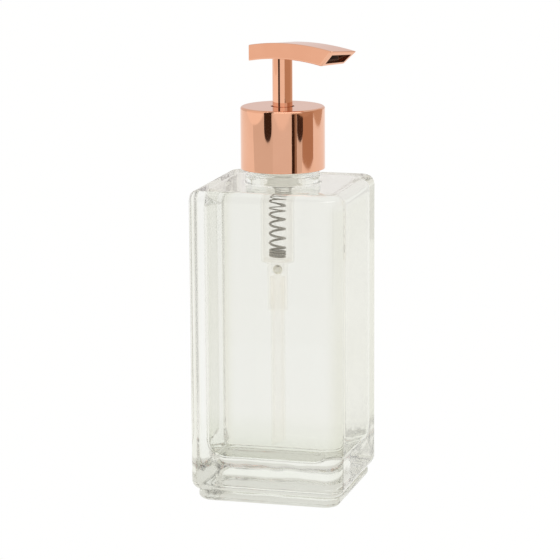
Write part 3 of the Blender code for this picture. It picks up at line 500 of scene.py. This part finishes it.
def make_bottle(finish, wet_finish):
    """Thick square bottle as one closed skin, whose inner faces up to the foot of the neck are wet.

    Each row of the outline is a ring at height z, whose distance from the axis in direction a is
    square_reach(h, c, a): c is the half width plus the row's corner rule, and roundness draws c to h, which
    makes the ring a circle. The neck adds the height of its thread rib."""
    a = bottle_directions()
    rows = bottle_outline()
    half, z, roundness, rule = (rows[:, [i]] for i in range(4))
    corner = np.maximum(half + rule, 0.04 * half)
    corner = corner + (half - corner) * roundness
    reach = square_reach(half, corner, a)
    on_neck = (np.abs(half - NECK_RADIUS) < 0.01) & (z > BEAD_TOP + 0.4) & (z < NECK_TOP - 0.7)
    start_z = THREAD_END - NECK_TURNS * PITCH
    rib = helix_rib(a, z, start_z, 0.5 * TAU, NECK_TURNS, NECK_RIB_WIDTH, NECK_RIB_HEIGHT)
    reach = reach + np.where(on_neck, rib, 0)
    grid = np.stack([reach * np.cos(a), reach * np.sin(a), z + 0 * a], -1)
    bottle = capped_solid("glass_bottle", grid, finish, "bottle", "clear_glass", "bottle")
    bottle.data.materials.append(wet_finish)
    wet = (rule.ravel() == CAVITY_RULE) & (z.ravel() < WET_LEVEL)
    bands = np.repeat(wet[1:-2] & wet[2:-1], len(a))
    index = np.zeros(len(bottle.data.polygons), np.int32)
    index[:len(bands)] = bands
    index[-len(a):] = 1
    bottle.data.polygons.foreach_set("material_index", index)
    return bottle


# ---------------------------------------------------------------- closure

def make_collar(finish):
    """Polished cover of the screw cap: its outline turned about Z."""
    inner, ceiling = COLLAR_RADIUS - COLLAR_WALL, COLLAR_TOP - COLLAR_WALL
    corners = [
        (COLLAR_HOLE, COLLAR_TOP, 0.12), (COLLAR_RADIUS, COLLAR_TOP, 0.9), (COLLAR_RADIUS, COLLAR_FOOT, 0.12),
        (inner, COLLAR_FOOT, 0.12), (inner, ceiling, 0.4), (COLLAR_HOLE, ceiling, 0.12),
    ]
    return turned_ring("collar_cover", corners, finish, "closure", "rose_gold", "collar_shell", steps=192)


def make_cap(finish):
    """Screw cap inside the cover: its outline turned about Z, with the bore drawn in by the thread's rib.

    On the bore a point (r cos a, r sin a, z) moves to r less the rib's height at a and z."""
    web_top, hole, upper_bore = CAP_WEB + 1.6, 9.2, 14.4
    corners = [
        (CAP_RADIUS, CAP_TOP, 0.3), (CAP_RADIUS, CAP_FOOT, 0.3), (CAP_BORE, CAP_FOOT, 0.3),
        (CAP_BORE, CAP_WEB, 0.4), (hole, CAP_WEB, 0.2), (hole, web_top, 0.2), (upper_bore, web_top, 0.5),
        (upper_bore, CAP_TOP, 0.3),
    ]
    outline = rounded(corners)
    low, high = CAP_FOOT + 0.4, CAP_WEB - 0.5
    bore = straight((CAP_BORE, low), (CAP_BORE, high), 50)
    on_bore = np.abs(outline[:, 0] - CAP_BORE) < 0.001
    keep = ~(on_bore & (outline[:, 1] > low - 0.05) & (outline[:, 1] < high + 0.05))
    before = np.arange(len(outline)) < int(np.argmax(outline[:, 0] < CAP_BORE + 0.05)) + 7
    outline = np.concatenate([outline[before & keep], bore, outline[~before & keep]])
    steps = 192
    grid = revolve(outline, steps)
    a = np.linspace(0, TAU, steps, endpoint=False)
    start_z = CAP_FOOT + 1.1 + SEAT
    start_angle = TAU * (start_z + PITCH / 2 - THREAD_END) / PITCH
    rib = helix_rib(a, outline[:, 1:], start_z, start_angle, CAP_TURNS, CAP_RIB_WIDTH, CAP_RIB_HEIGHT)
    rib = np.where(np.abs(outline[:, :1] - CAP_BORE) < 0.001, rib, 0)
    grid[..., 0] -= rib * np.cos(a)
    grid[..., 1] -= rib * np.sin(a)
    return ring_solid("screw_cap", grid, finish, "closure", "white_plastic", "threaded_cap")


def make_bush(finish):
    """Ring that guides the sleeve under the collar's hole: its outline turned about Z."""
    outer, bore = 6.6, SLEEVE_RADIUS + SEAT
    corners = [(outer, CAP_TOP, 0.25), (outer, BUSH_FOOT, 0.25), (bore, BUSH_FOOT, 0.25), (bore, CAP_TOP, 0.25)]
    return turned_ring("collar_ring", corners, finish, "closure", "dark_plastic", "collar_bush")


# ---------------------------------------------------------------- pump

def make_housing(finish):
    """Pump body with flange, bore, ledge, valve seat and tube socket: its outline turned about Z."""
    neck, socket, socket_foot = 8.9, 4.2, 77.05
    socket_bore = TUBE_RADIUS + 0.15
    way, chamber = 1.5, 2.75
    seat_foot, seat_top = TUBE_STOP + 1.2, TUBE_STOP + 2.8
    corners = [
        (neck, HOUSING_TOP, 0.3), (neck, FLANGE_TOP, 0.3), (FLANGE_RADIUS, FLANGE_TOP, 0.25),
        (FLANGE_RADIUS, FLANGE_FOOT, 0.25), (HOUSING_RADIUS, FLANGE_FOOT, 0.4), (HOUSING_RADIUS, LEDGE, 0.6),
        (socket, LEDGE - 1.05, 0.5), (socket, socket_foot, 0.3), (socket_bore, socket_foot, 0.2),
        (socket_bore, TUBE_STOP, 0.2), (way, TUBE_STOP, 0.15), (way, seat_foot, 0.2), (chamber, seat_top, 0.2),
        (chamber, LEDGE, 0.2), (HOUSING_BORE, LEDGE, 0.25), (HOUSING_BORE, HOUSING_TOP, 0.25),
    ]
    return turned_ring("pump_body", corners, finish, "pump_unit", "natural_plastic", "pump_housing")


def make_gasket(finish):
    """Foam washer between the neck's lip and the pump's flange: its outline turned about Z."""
    low, high, hole = NECK_TOP + SEAT, FLANGE_FOOT - SEAT, HOUSING_RADIUS + SEAT
    corners = [(FLANGE_RADIUS, high, 0.3), (FLANGE_RADIUS, low, 0.3), (hole, low, 0.2), (hole, high, 0.2)]
    return turned_ring("foam_washer", corners, finish, "pump_unit", "soft_foam", "neck_gasket")


def make_guide(finish):
    """Snap-in guide of the plunger: its outline turned about Z."""
    collar, rim, rim_foot, rim_top = 6.4, 10.8, HOUSING_TOP + SEAT, 152.8
    high, low, step = BUSH_FOOT - SEAT, 134.3, 141.0
    plug, stem_bore, sleeve_bore = HOUSING_BORE - SEAT, STEM_RADIUS + SEAT, SLEEVE_RADIUS + SEAT
    corners = [
        (collar, high, 0.3), (collar, rim_top, 0.3), (rim, rim_top, 0.3), (rim, rim_foot, 0.3),
        (plug, rim_foot, 0.4), (plug, low, 0.3), (stem_bore, low, 0.2), (stem_bore, step, 0.2),
        (sleeve_bore, step, 0.2), (sleeve_bore, high, 0.3),
    ]
    return turned_ring("plunger_guide", corners, finish, "pump_unit", "white_plastic", "guide_sleeve")


def make_dip_tube(finish):
    """Suction tube. Near its foot each ring is tipped: z = level + (r cos a) tan 30 degrees, fading upwards."""
    top = TUBE_STOP - SEAT
    corners = [(TUBE_RADIUS, top, 0.2), (TUBE_RADIUS, TUBE_FOOT, 0.15), (TUBE_BORE, TUBE_FOOT, 0.15),
               (TUBE_BORE, top, 0.2)]
    grid = revolve(rounded(corners), 96)
    fade = np.clip(1 - (grid[..., 2] - TUBE_FOOT) / TUBE_CUT_REACH, 0, 1)
    grid[..., 2] += grid[..., 0] * TUBE_CUT * fade
    return ring_solid("suction_tube", grid, finish, "pump_unit", "natural_plastic", "dip_tube")


def make_cage(finish):
    """Ring on the housing's ledge, over the ball and under the spring: its outline turned about Z."""
    outer, hole, low, high = HOUSING_BORE - SEAT, 1.5, LEDGE + SEAT, SPRING_FOOT - SEAT
    corners = [(outer, high, 0.2), (outer, low, 0.2), (hole, low, 0.2), (hole, high, 0.2)]
    return turned_ring("ball_stop", corners, finish, "pump_unit", "natural_plastic", "ball_cage")


def make_ball(finish):
    """Sphere: (R cos e cos a, R cos e sin a, centre + R sin e)."""
    e = np.linspace(math.pi / 2, -math.pi / 2, 25)
    outline = np.stack([BALL_RADIUS * np.cos(e), BALL_CENTRE + BALL_RADIUS * np.sin(e)], -1)
    outline[[0, -1], 0] = 0
    return capped_solid("valve_ball", revolve(outline, 48), finish, "ball", "spring_steel", "inlet_ball")


def make_spring(finish):
    """Left-hand spring as a round tube on a helix.

    The centre line is (R cos p, -R sin p, z(p)), and z grows with the pitch, which rises smoothly from the
    closed end turns, 1 mm a turn, to the open ones. A tube point is the centre line plus w (cos q) u +
    w (sin q) v, where u points out from the axis and v is square to u and to the line. Both tips shrink to a
    point."""
    low, high = SPRING_FOOT + SPRING_WIRE, SPRING_TOP - SPRING_WIRE
    turns = SPRING_FOOT_TURNS + SPRING_TOP_TURNS + SPRING_OPEN_TURNS
    t = np.linspace(0, turns, int(48 * turns))
    change = 0.3
    opening = smooth((t - SPRING_FOOT_TURNS) / change + 0.5)
    opening *= smooth((turns - SPRING_TOP_TURNS - t) / change + 0.5)
    share = np.concatenate([[0], np.cumsum((opening[1:] + opening[:-1]) / 2 * np.diff(t))])
    z = low + t + (high - low - turns) * share / share[-1]
    p = TAU * t
    centre = np.stack([SPRING_RADIUS * np.cos(p), -SPRING_RADIUS * np.sin(p), z], -1)
    line = np.gradient(centre, t, axis=0)
    line /= np.linalg.norm(line, axis=1, keepdims=True)
    u = np.stack([np.cos(p), -np.sin(p), 0 * p], -1)
    v = np.cross(line, u)
    from_end = np.clip(np.minimum(t, turns - t) * TAU * SPRING_RADIUS / SPRING_WIRE, 0, 1)
    w = SPRING_WIRE * np.sqrt(1 - (1 - from_end) ** 2)
    q = np.linspace(0, TAU, 16, endpoint=False)
    ring = np.cos(q)[:, None] * u[:, None] + np.sin(q)[:, None] * v[:, None]
    grid = centre[:, None] + w[:, None, None] * ring
    spring = capped_solid("coil_spring", grid, finish, "pump_unit", "spring_steel", "return_spring")
    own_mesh(spring)
    return spring


def make_seal(finish):
    """Floating seal, waisted between two lips: its outline turned about Z."""
    waist, bore, lip, slope = SEAL_LIP - 0.9, STEM_RADIUS + SEAT, 0.8, 0.6
    corners = [
        (SEAL_LIP, SEAL_TOP, 0.1), (SEAL_LIP, SEAL_TOP - lip, 0.15), (waist, SEAL_TOP - lip - slope, 0.3),
        (waist, SEAL_FOOT + lip + slope, 0.3), (SEAL_LIP, SEAL_FOOT + lip, 0.15), (SEAL_LIP, SEAL_FOOT, 0.1),
        (bore, SEAL_FOOT, 0.2), (bore, SEAL_TOP, 0.2),
    ]
    return turned_ring("piston_ring", corners, finish, "piston", "white_plastic", "piston_seal")


# ---------------------------------------------------------------- plunger and head

def make_sleeve(finish):
    """Metal tube over the stem: its outline turned about Z."""
    corners = [
        (SLEEVE_RADIUS, SLEEVE_TOP, 0.12), (SLEEVE_RADIUS, SLEEVE_FOOT, 0.12), (SLEEVE_BORE, SLEEVE_FOOT, 0.12),
        (SLEEVE_BORE, SLEEVE_TOP, 0.12),
    ]
    return turned_ring("stem_tube", corners, finish, "head", "rose_gold", "stem_sleeve")


def bow(along):
    """Level of the head's upper face at a distance along it: the crest's level less (along - crest)^2 / 2 R."""
    return HEAD_LEVEL - (along - HEAD_CREST) ** 2 / (2 * HEAD_BOW)


def swell(along, across, depth):
    """Extra height towards the spout, 0.8 s^2 with s the share of the way to the front, less a slight fall
    across the head, (0.25 + 0.2 s^2) (1 + v) with v from -1 to 1; both fade out down to the lower face."""
    share = (np.maximum(along, 0) / HEAD_FRONT) ** 2
    fall = (0.25 + 0.2 * share) * (1 + across / HEAD_HALF)
    return (0.8 * share - fall) * np.clip(1 - depth / HEAD_DEPTH, 0, 1)


def skew(along, across, depth):
    """Extra length of the far side of the spout: s^2 (1 + v) (0.65 - 0.05 depth)."""
    share = (np.maximum(along, 0) / HEAD_FRONT) ** 2
    return share * (1 + across / HEAD_HALF) * (0.65 - 0.05 * depth)


def to_head(along, across, z):
    """Turns head coordinates to the rest direction about Z."""
    c, s = math.cos(HEAD_TURN), math.sin(HEAD_TURN)
    return np.stack([along * c - across * s, along * s + across * c, z + 0 * along], -1)


def spaced(low, high, radius, count):
    """Values from low to high with the last radius at each end in fine steps."""
    edge = radius * np.array([0.0, 0.2, 0.45, 0.72, 1.0])
    between = np.linspace(low + 1.6 * radius, high - 1.6 * radius, count)
    return np.concatenate([low + edge, between, high - edge[::-1]])


def plan(x, y, low, high, side, radius):
    """Rounds the corners of a rectangular grid: near a corner a point keeps its direction from the corner's
    centre, and its distance becomes the larger of its two offsets, which turns squares into circles."""
    cx = np.clip(x, low + radius, high - radius)
    cy = np.clip(y, -side + radius, side - radius)
    dx, dy = x - cx, y - cy
    largest = np.maximum(np.abs(dx), np.abs(dy))
    length = np.maximum(np.hypot(dx, dy), 1e-9)
    pull = np.where((np.abs(dx) > 0) & (np.abs(dy) > 0), largest / length, 1)
    return cx + dx * pull, cy + dy * pull


def loop_of(index):
    """The outer cells of a grid of indices, once round."""
    return np.concatenate([index[:-1, 0], index[-1, :-1], index[:0:-1, -1], index[0, :0:-1]])


def cells(index):
    """Quads between neighbours of an open grid of indices."""
    return np.stack([index[:-1, :-1], index[1:, :-1], index[1:, 1:], index[:-1, 1:]], -1).reshape(-1, 4)


def bridge(outer, inner):
    """Quads from a row of indices to the row beside it."""
    return np.stack([outer[:-1], inner[:-1], inner[1:], outer[1:]], -1)


def head_layer(u, v, depth, inset, bounds):
    """Points of the head at a depth under its upper face, for u from 0 at the rear to 1 at the front and v
    from -1 to 1 across.

    bounds are the rear, the front at the upper face, the half width, how far the front falls back per depth,
    and the corner radius. With all sides drawn in by inset, x and y run evenly between them and plan rounds
    the corners. Then x gains the skew, and z = bow(x) - depth + swell."""
    rear, front, side, lean, radius = bounds
    low, high, wide = rear + inset, front - lean * depth - inset, side - inset
    x, y = plan(low + (high - low) * u, wide * v, low, high, wide, max(radius - inset, 0.1))
    return np.stack([x + skew(x, y, depth), y, bow(x) - depth + swell(x, y, depth)], -1)


def quarter_turn(steps, radius):
    """Pairs (radius (1 - cos a), radius (1 - sin a)) for a from 0 to 90 degrees."""
    a = np.radians(np.linspace(0, 90, steps + 1))
    return np.stack([radius * (1 - np.cos(a)), radius * (1 - np.sin(a))], -1)


def make_head(finish):
    """Bowed bar head, hollow from below, as one closed skin.

    The upper face is a grid of head_layer. From its border, rows of one loop follow: over the rounded edge,
    down the sides (the end at the spout leans back towards the rear), round the lower rim, up the inner
    walls, and a second grid is the roof inside. A block of cells is left out of the leaning end, outside and
    inside, and four walls between those two borders make the spout."""
    outside = (-HEAD_REAR, HEAD_FRONT, HEAD_HALF, (HEAD_FRONT - HEAD_FOOT) / HEAD_DEPTH, HEAD_CORNER)
    pocket = (HEAD_WALL - HEAD_REAR, HEAD_FOOT - HEAD_LIP, HEAD_HALF - HEAD_WALL, 0, POCKET_CORNER)
    u = spaced(0.0, 1.0, 0.03, 70)
    at_slot = (SPOUT_HALF + np.array([-0.25, 0, 0.25])) / HEAD_HALF
    side_v = np.concatenate([np.linspace(0.93, 1, 5), np.linspace(0.83, 0.9, 3), at_slot])
    v = np.sort(np.concatenate([-side_v, side_v, np.linspace(-0.68, 0.68, 19)]))
    grid_u, grid_v = np.meshgrid(u, v, indexing="ij")
    top_index = np.arange(grid_u.size).reshape(grid_u.shape)
    border = loop_of(top_index)
    loop_u, loop_v = grid_u.ravel()[border], grid_v.ravel()[border]

    spout_top, spout_low = SPOUT_ROOF, HEAD_DEPTH - SPOUT_FLOOR
    depths = np.concatenate([[0.7, 1.1, 1.45, spout_top], np.linspace(1.9, 5.1, 7), [spout_low, 5.65, 5.9]])
    edge = [(depth, inset, outside) for depth, inset in quarter_turn(6, HEAD_EDGE)[1:]]
    wall = [(depth, 0.0, outside) for depth in depths]
    rim = [(HEAD_DEPTH - rise, inset, outside) for inset, rise in quarter_turn(4, HEAD_RIM)]
    mouth = [(HEAD_DEPTH, -POCKET_RIM, pocket), (HEAD_DEPTH - POCKET_RIM, 0.0, pocket)]
    inner_wall = [(depth, 0.0, pocket) for depth in depths[::-1]]
    inner_edge = [(HEAD_ROOF + rise, inset, pocket) for inset, rise in quarter_turn(3, POCKET_ROUND)[1:-1]]
    layers = edge + wall + rim + mouth + inner_wall + inner_edge
    rows = np.array([head_layer(loop_u, loop_v, *layer) for layer in layers])
    top = head_layer(grid_u, grid_v, 0.0, HEAD_EDGE, outside)
    roof = head_layer(grid_u, grid_v, HEAD_ROOF, POCKET_ROUND, pocket)
    points = np.concatenate([part.reshape(-1, 3) for part in (top, rows, roof)])
    row_index = top_index.size + np.arange(len(rows) * len(border)).reshape(len(rows), -1)
    roof_index = row_index[-1, -1] + 1 + top_index
    loops = np.vstack([border, row_index, roof_index.ravel()[border]])

    beside = np.roll(loops, -1, 1)
    bands = np.stack([loops[:-1], loops[1:], beside[1:], beside[:-1]], -1)
    at_spout = (loop_u == 1.0) & (np.abs(loop_v) <= SPOUT_HALF / HEAD_HALF + 1e-6)
    at_spout &= np.roll(at_spout, -1)
    outer_high, outer_low = (1 + len(edge) + np.flatnonzero(depths == d)[0] for d in (spout_top, spout_low))
    first_inner = 1 + len(edge + wall + rim + mouth)
    inner_low, inner_high = (first_inner + np.flatnonzero(depths[::-1] == d)[0] for d in (spout_low, spout_top))
    shut = np.ones(bands.shape[:2], bool)
    shut[outer_high:outer_low, at_spout] = False
    shut[inner_low:inner_high, at_spout] = False
    columns = np.append(np.flatnonzero(at_spout), np.flatnonzero(at_spout)[-1] + 1)
    outer = loops[outer_high:outer_low + 1]
    inner = loops[inner_low:inner_high + 1][::-1]
    first, last = columns[0], columns[-1]
    faces = [
        cells(top_index), cells(roof_index)[:, ::-1], bands[shut],
        bridge(outer[0, columns], inner[0, columns]),
        bridge(outer[-1, columns][::-1], inner[-1, columns][::-1]),
        bridge(outer[::-1, first], inner[::-1, first]),
        bridge(outer[:, last], inner[:, last]),
    ]
    world = to_head(points[:, 0], points[:, 1], points[:, 2])
    return piece("pump_head", world, faces, finish, "head", "rose_gold", "head_shell")


def make_head_plate(finish):
    """Cover let in under the head: rings (r cos a, r sin a) from a round hole out to a rectangle, with
    z = bow(x) less the head's depth, once below and once PLATE_THICKNESS higher."""
    low, high = HEAD_WALL + SEAT - HEAD_REAR, HEAD_FOOT - HEAD_LIP - SEAT
    side = HEAD_HALF - HEAD_WALL - SEAT
    hole = SLEEVE_RADIUS + SEAT
    a = np.linspace(0, TAU, 160, endpoint=False)
    cos, sin = np.cos(a), np.sin(a)
    to_end = np.where(cos > 0, high, -low) / np.maximum(np.abs(cos), 1e-9)
    reach = np.minimum(to_end, side / np.maximum(np.abs(sin), 1e-9))
    share = np.array([0, 0.02, 0.3, 0.6, 0.85, 0.98, 1.0])[:, None]
    radius = hole + (reach - hole) * share
    radius = np.concatenate([radius, radius[::-1]])
    lift = np.repeat([0.0, PLATE_THICKNESS], len(share))[:, None]
    x, y = radius * cos, radius * sin
    z = bow(x) - HEAD_DEPTH + lift
    return ring_solid("head_cover", to_head(x, y, z), finish, "head", "rose_gold", "head_plate")


def make_duct(finish):
    """Flat duct to the spout: a rectangle (y, depth) carried along the bow, z = bow(x) - depth, forwards
    outside and back inside."""
    x = np.linspace(DUCT_REAR, HEAD_FOOT - DUCT_SETBACK + HEAD_LIP, 15)[:, None]
    half, roof, floor = SPOUT_HALF - SEAT, SPOUT_ROOF + SEAT, HEAD_DEPTH - SPOUT_FLOOR - SEAT
    y = np.array([-half, half, half, -half])
    depth = np.array([roof, roof, floor, floor])
    inwards = DUCT_WALL * np.array([[1, -1, -1, 1], [1, 1, -1, -1]])
    along = np.concatenate([x, x[::-1]]) + 0 * y
    across = np.concatenate([y + 0 * x, y + inwards[0] + 0 * x])
    z = np.concatenate([bow(x) - depth, bow(x[::-1]) - depth - inwards[1]])
    return ring_solid("spout_duct", to_head(along, across, z), finish, "head", "dark_plastic", "nozzle_duct")


# ---------------------------------------------------------------- stage

CAMERA_BEARING = math.radians(-74.6)
CARD_FOOT_ROUND = 0.006
FLOOR_COLOUR, SKY_COLOUR = (1.0, 1.0, 0.995), (0.80, 0.79, 0.77)

# Cards that stand round the object, in metres. Bearing and width are in degrees, and the bearing is counted to
# the right of the camera: name, bearing, width, distance, foot, top, colour, rounded foot.
CARDS = (
    ("dark_left", -40, 21, 0.3, 0.104, 0.7, (0.05, 0.032, 0.022), True),
    ("dark_line", 28, 8, 0.9, -0.6, 0.042, (0.045, 0.022, 0.012), False),
    ("brown_line", 35, 6, 0.9, -0.6, 0.042, (0.36, 0.27, 0.20), False),
    ("dark_right", 46.5, 17, 0.3, 0.104, 0.1225, (0.06, 0.035, 0.025), True),
    ("brown_right", 61, 72, 0.31, 0.1235, 0.150, (0.56, 0.40, 0.29), False),
    ("dim_right", 72, 36, 0.9, -0.6, 0.7, (0.50, 0.34, 0.24), False),
    ("dim_above", 113, 46, 0.88, 0.036, 0.7, (0.62, 0.47, 0.36), False),
    ("bright_right", 113, 46, 0.9, -0.6, 0.7, (1.0, 1.02, 1.04), False),
    ("front_low", -2, 50, 1.3, -0.6, -0.018, (0.86, 0.86, 0.86), False),
    ("front_high", -2, 50, 1.3, -0.018, 0.9, (1.02, 1.0, 0.99), False),
    ("pale_left", -82, 60, 0.3, 0.118, 0.140, (1.1, 1.08, 1.06), False),
    ("pink_left", -82, 60, 0.3, 0.140, 0.5, (0.97, 0.89, 0.84), False),
    ("rose_back", 180, 80, 1.5, 0.15, 1.2, (0.80, 0.735, 0.72), False),
)

# Bright arch over the front: its two ends as bearings, then radius and level of the lower and the upper edge
ARCH_ENDS, ARCH_LOW, ARCH_HIGH, ARCH_STRENGTH = (-75, 62), (0.86, 0.95), (0.74, 1.10), 4.0


def card(name, corners, colour, strength=1.0, seen=False):
    """A flat sheet that shines evenly. Only a seen one shows to the camera and through glass."""
    g = Graph(name + "_light")
    light = g.output(g.node("ShaderNodeEmission", sockets={"Color": (*colour, 1.0), "Strength": strength}))
    mesh = bpy.data.meshes.new(name)
    mesh.from_pydata(np.asarray(corners).tolist(), [], [tuple(range(len(corners)))])
    mesh.materials.append(light)
    made = bpy.data.objects.new(name, mesh)
    bpy.context.scene.collection.objects.link(made)
    made.visible_camera = seen
    made.visible_transmission = seen
    made.visible_shadow = False
    return made


def upright(name, bearing, width, distance, foot, top, colour, rounded_foot):
    """A standing card, bent round the object at a distance d: (d cos b, d sin b, level) for bearings b across
    its width. Its foot is straight or half an ellipse."""
    share = np.linspace(0, math.pi, 17 if rounded_foot else 2)
    b = CAMERA_BEARING + math.radians(bearing) - math.radians(width) / 2 * np.cos(share)
    lift = CARD_FOOT_ROUND * (1 - np.sin(share)) if rounded_foot else 0 * share
    low_edge = np.stack([distance * np.cos(b), distance * np.sin(b), foot + lift], -1)
    high_edge = low_edge[::-1] * (1, 1, 0) + (0, 0, top)
    return card(name, np.concatenate([low_edge, high_edge]), colour)


def make_stage():
    """Pale floor, standing cards, a bright arch over the front, and an even grey sky."""
    left, right, near, far = -1.6, 1.6, -0.32, 4.0
    corners = [(left, near, 0), (right, near, 0), (right, far, 0), (left, far, 0)]
    floor = card("floor", corners, FLOOR_COLOUR, seen=True)
    floor.location.z = -0.0004
    for row in CARDS:
        upright(*row)
    b = CAMERA_BEARING + np.radians(np.linspace(*ARCH_ENDS, 16))
    arch = np.stack([np.cos(b), np.sin(b), 0 * b], -1)
    edges = [arch * ARCH_LOW[0] + (0, 0, ARCH_LOW[1]), arch[::-1] * ARCH_HIGH[0] + (0, 0, ARCH_HIGH[1])]
    card("top_light", np.concatenate(edges), (1.0, 1.0, 1.0), ARCH_STRENGTH)
    world = bpy.data.worlds.new("studio")
    world.use_nodes = True
    sky = world.node_tree.nodes["Background"]
    sky.inputs["Color"].default_value = (*SKY_COLOUR, 1.0)
    sky.inputs["Strength"].default_value = 1.0
    bpy.context.scene.world = world


def make_camera():
    """Long lens from a little above the front, turned a third of a degree about its own axis."""
    lens = bpy.data.cameras.new("camera")
    lens.sensor_width = 36.0
    lens.lens = 173.17
    lens.clip_start = 0.05
    lens.clip_end = 20.0
    camera = bpy.data.objects.new("camera", lens)
    camera.location = (0.28781, -1.04488, 0.30856)
    camera.rotation_euler = (math.radians(78.471), math.radians(0.336), math.radians(15.41))
    bpy.context.scene.collection.objects.link(camera)
    bpy.context.scene.camera = camera


def repaint(node, finish):
    """A CAD node that keeps its own mesh, with the fine material."""
    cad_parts[node].data.materials.clear()
    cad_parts[node].data.materials.append(finish)


def build():
    """All materials, pieces, the stage and the camera."""
    clear, wet = glass("clear_glass_fine", GLASS_INDEX), glass("wet_glass_fine", WET_INDEX)
    metal, steel, natural, soft = rose_gold(), steel_wire(), natural_plastic(), foam()
    # The last number of each plastic is painted glow that lightens it; it is no lamp.
    white = moulded_plastic("white_plastic_fine", (0.86, 0.86, 0.83), (0.80, 0.79, 0.74), 0.36, 0.3)
    dark = moulded_plastic("dark_plastic_fine", (0.080, 0.050, 0.037), (0.060, 0.038, 0.028), 0.55, 0.25)
    make_bottle(clear, wet)
    make_collar(metal)
    make_cap(white)
    make_bush(dark)
    make_housing(natural)
    make_gasket(soft)
    make_guide(white)
    make_dip_tube(natural)
    make_cage(natural)
    make_ball(polished_ball())
    make_spring(steel)
    make_seal(white)
    make_sleeve(metal)
    make_head(metal)
    make_head_plate(metal)
    make_duct(dark)
    repaint("inner_stem", white)
    repaint("stem_plug", white)
    repaint("head_core", dark)
    make_stage()
    make_camera()
    scene = bpy.context.scene
    scene.view_settings.view_transform = "Standard"
    scene.view_settings.look = "None"
    scene.cycles.max_bounces = 24
    scene.cycles.transmission_bounces = 20
    scene.cycles.transparent_max_bounces = 24
    scene.cycles.glossy_bounces = 8


build()
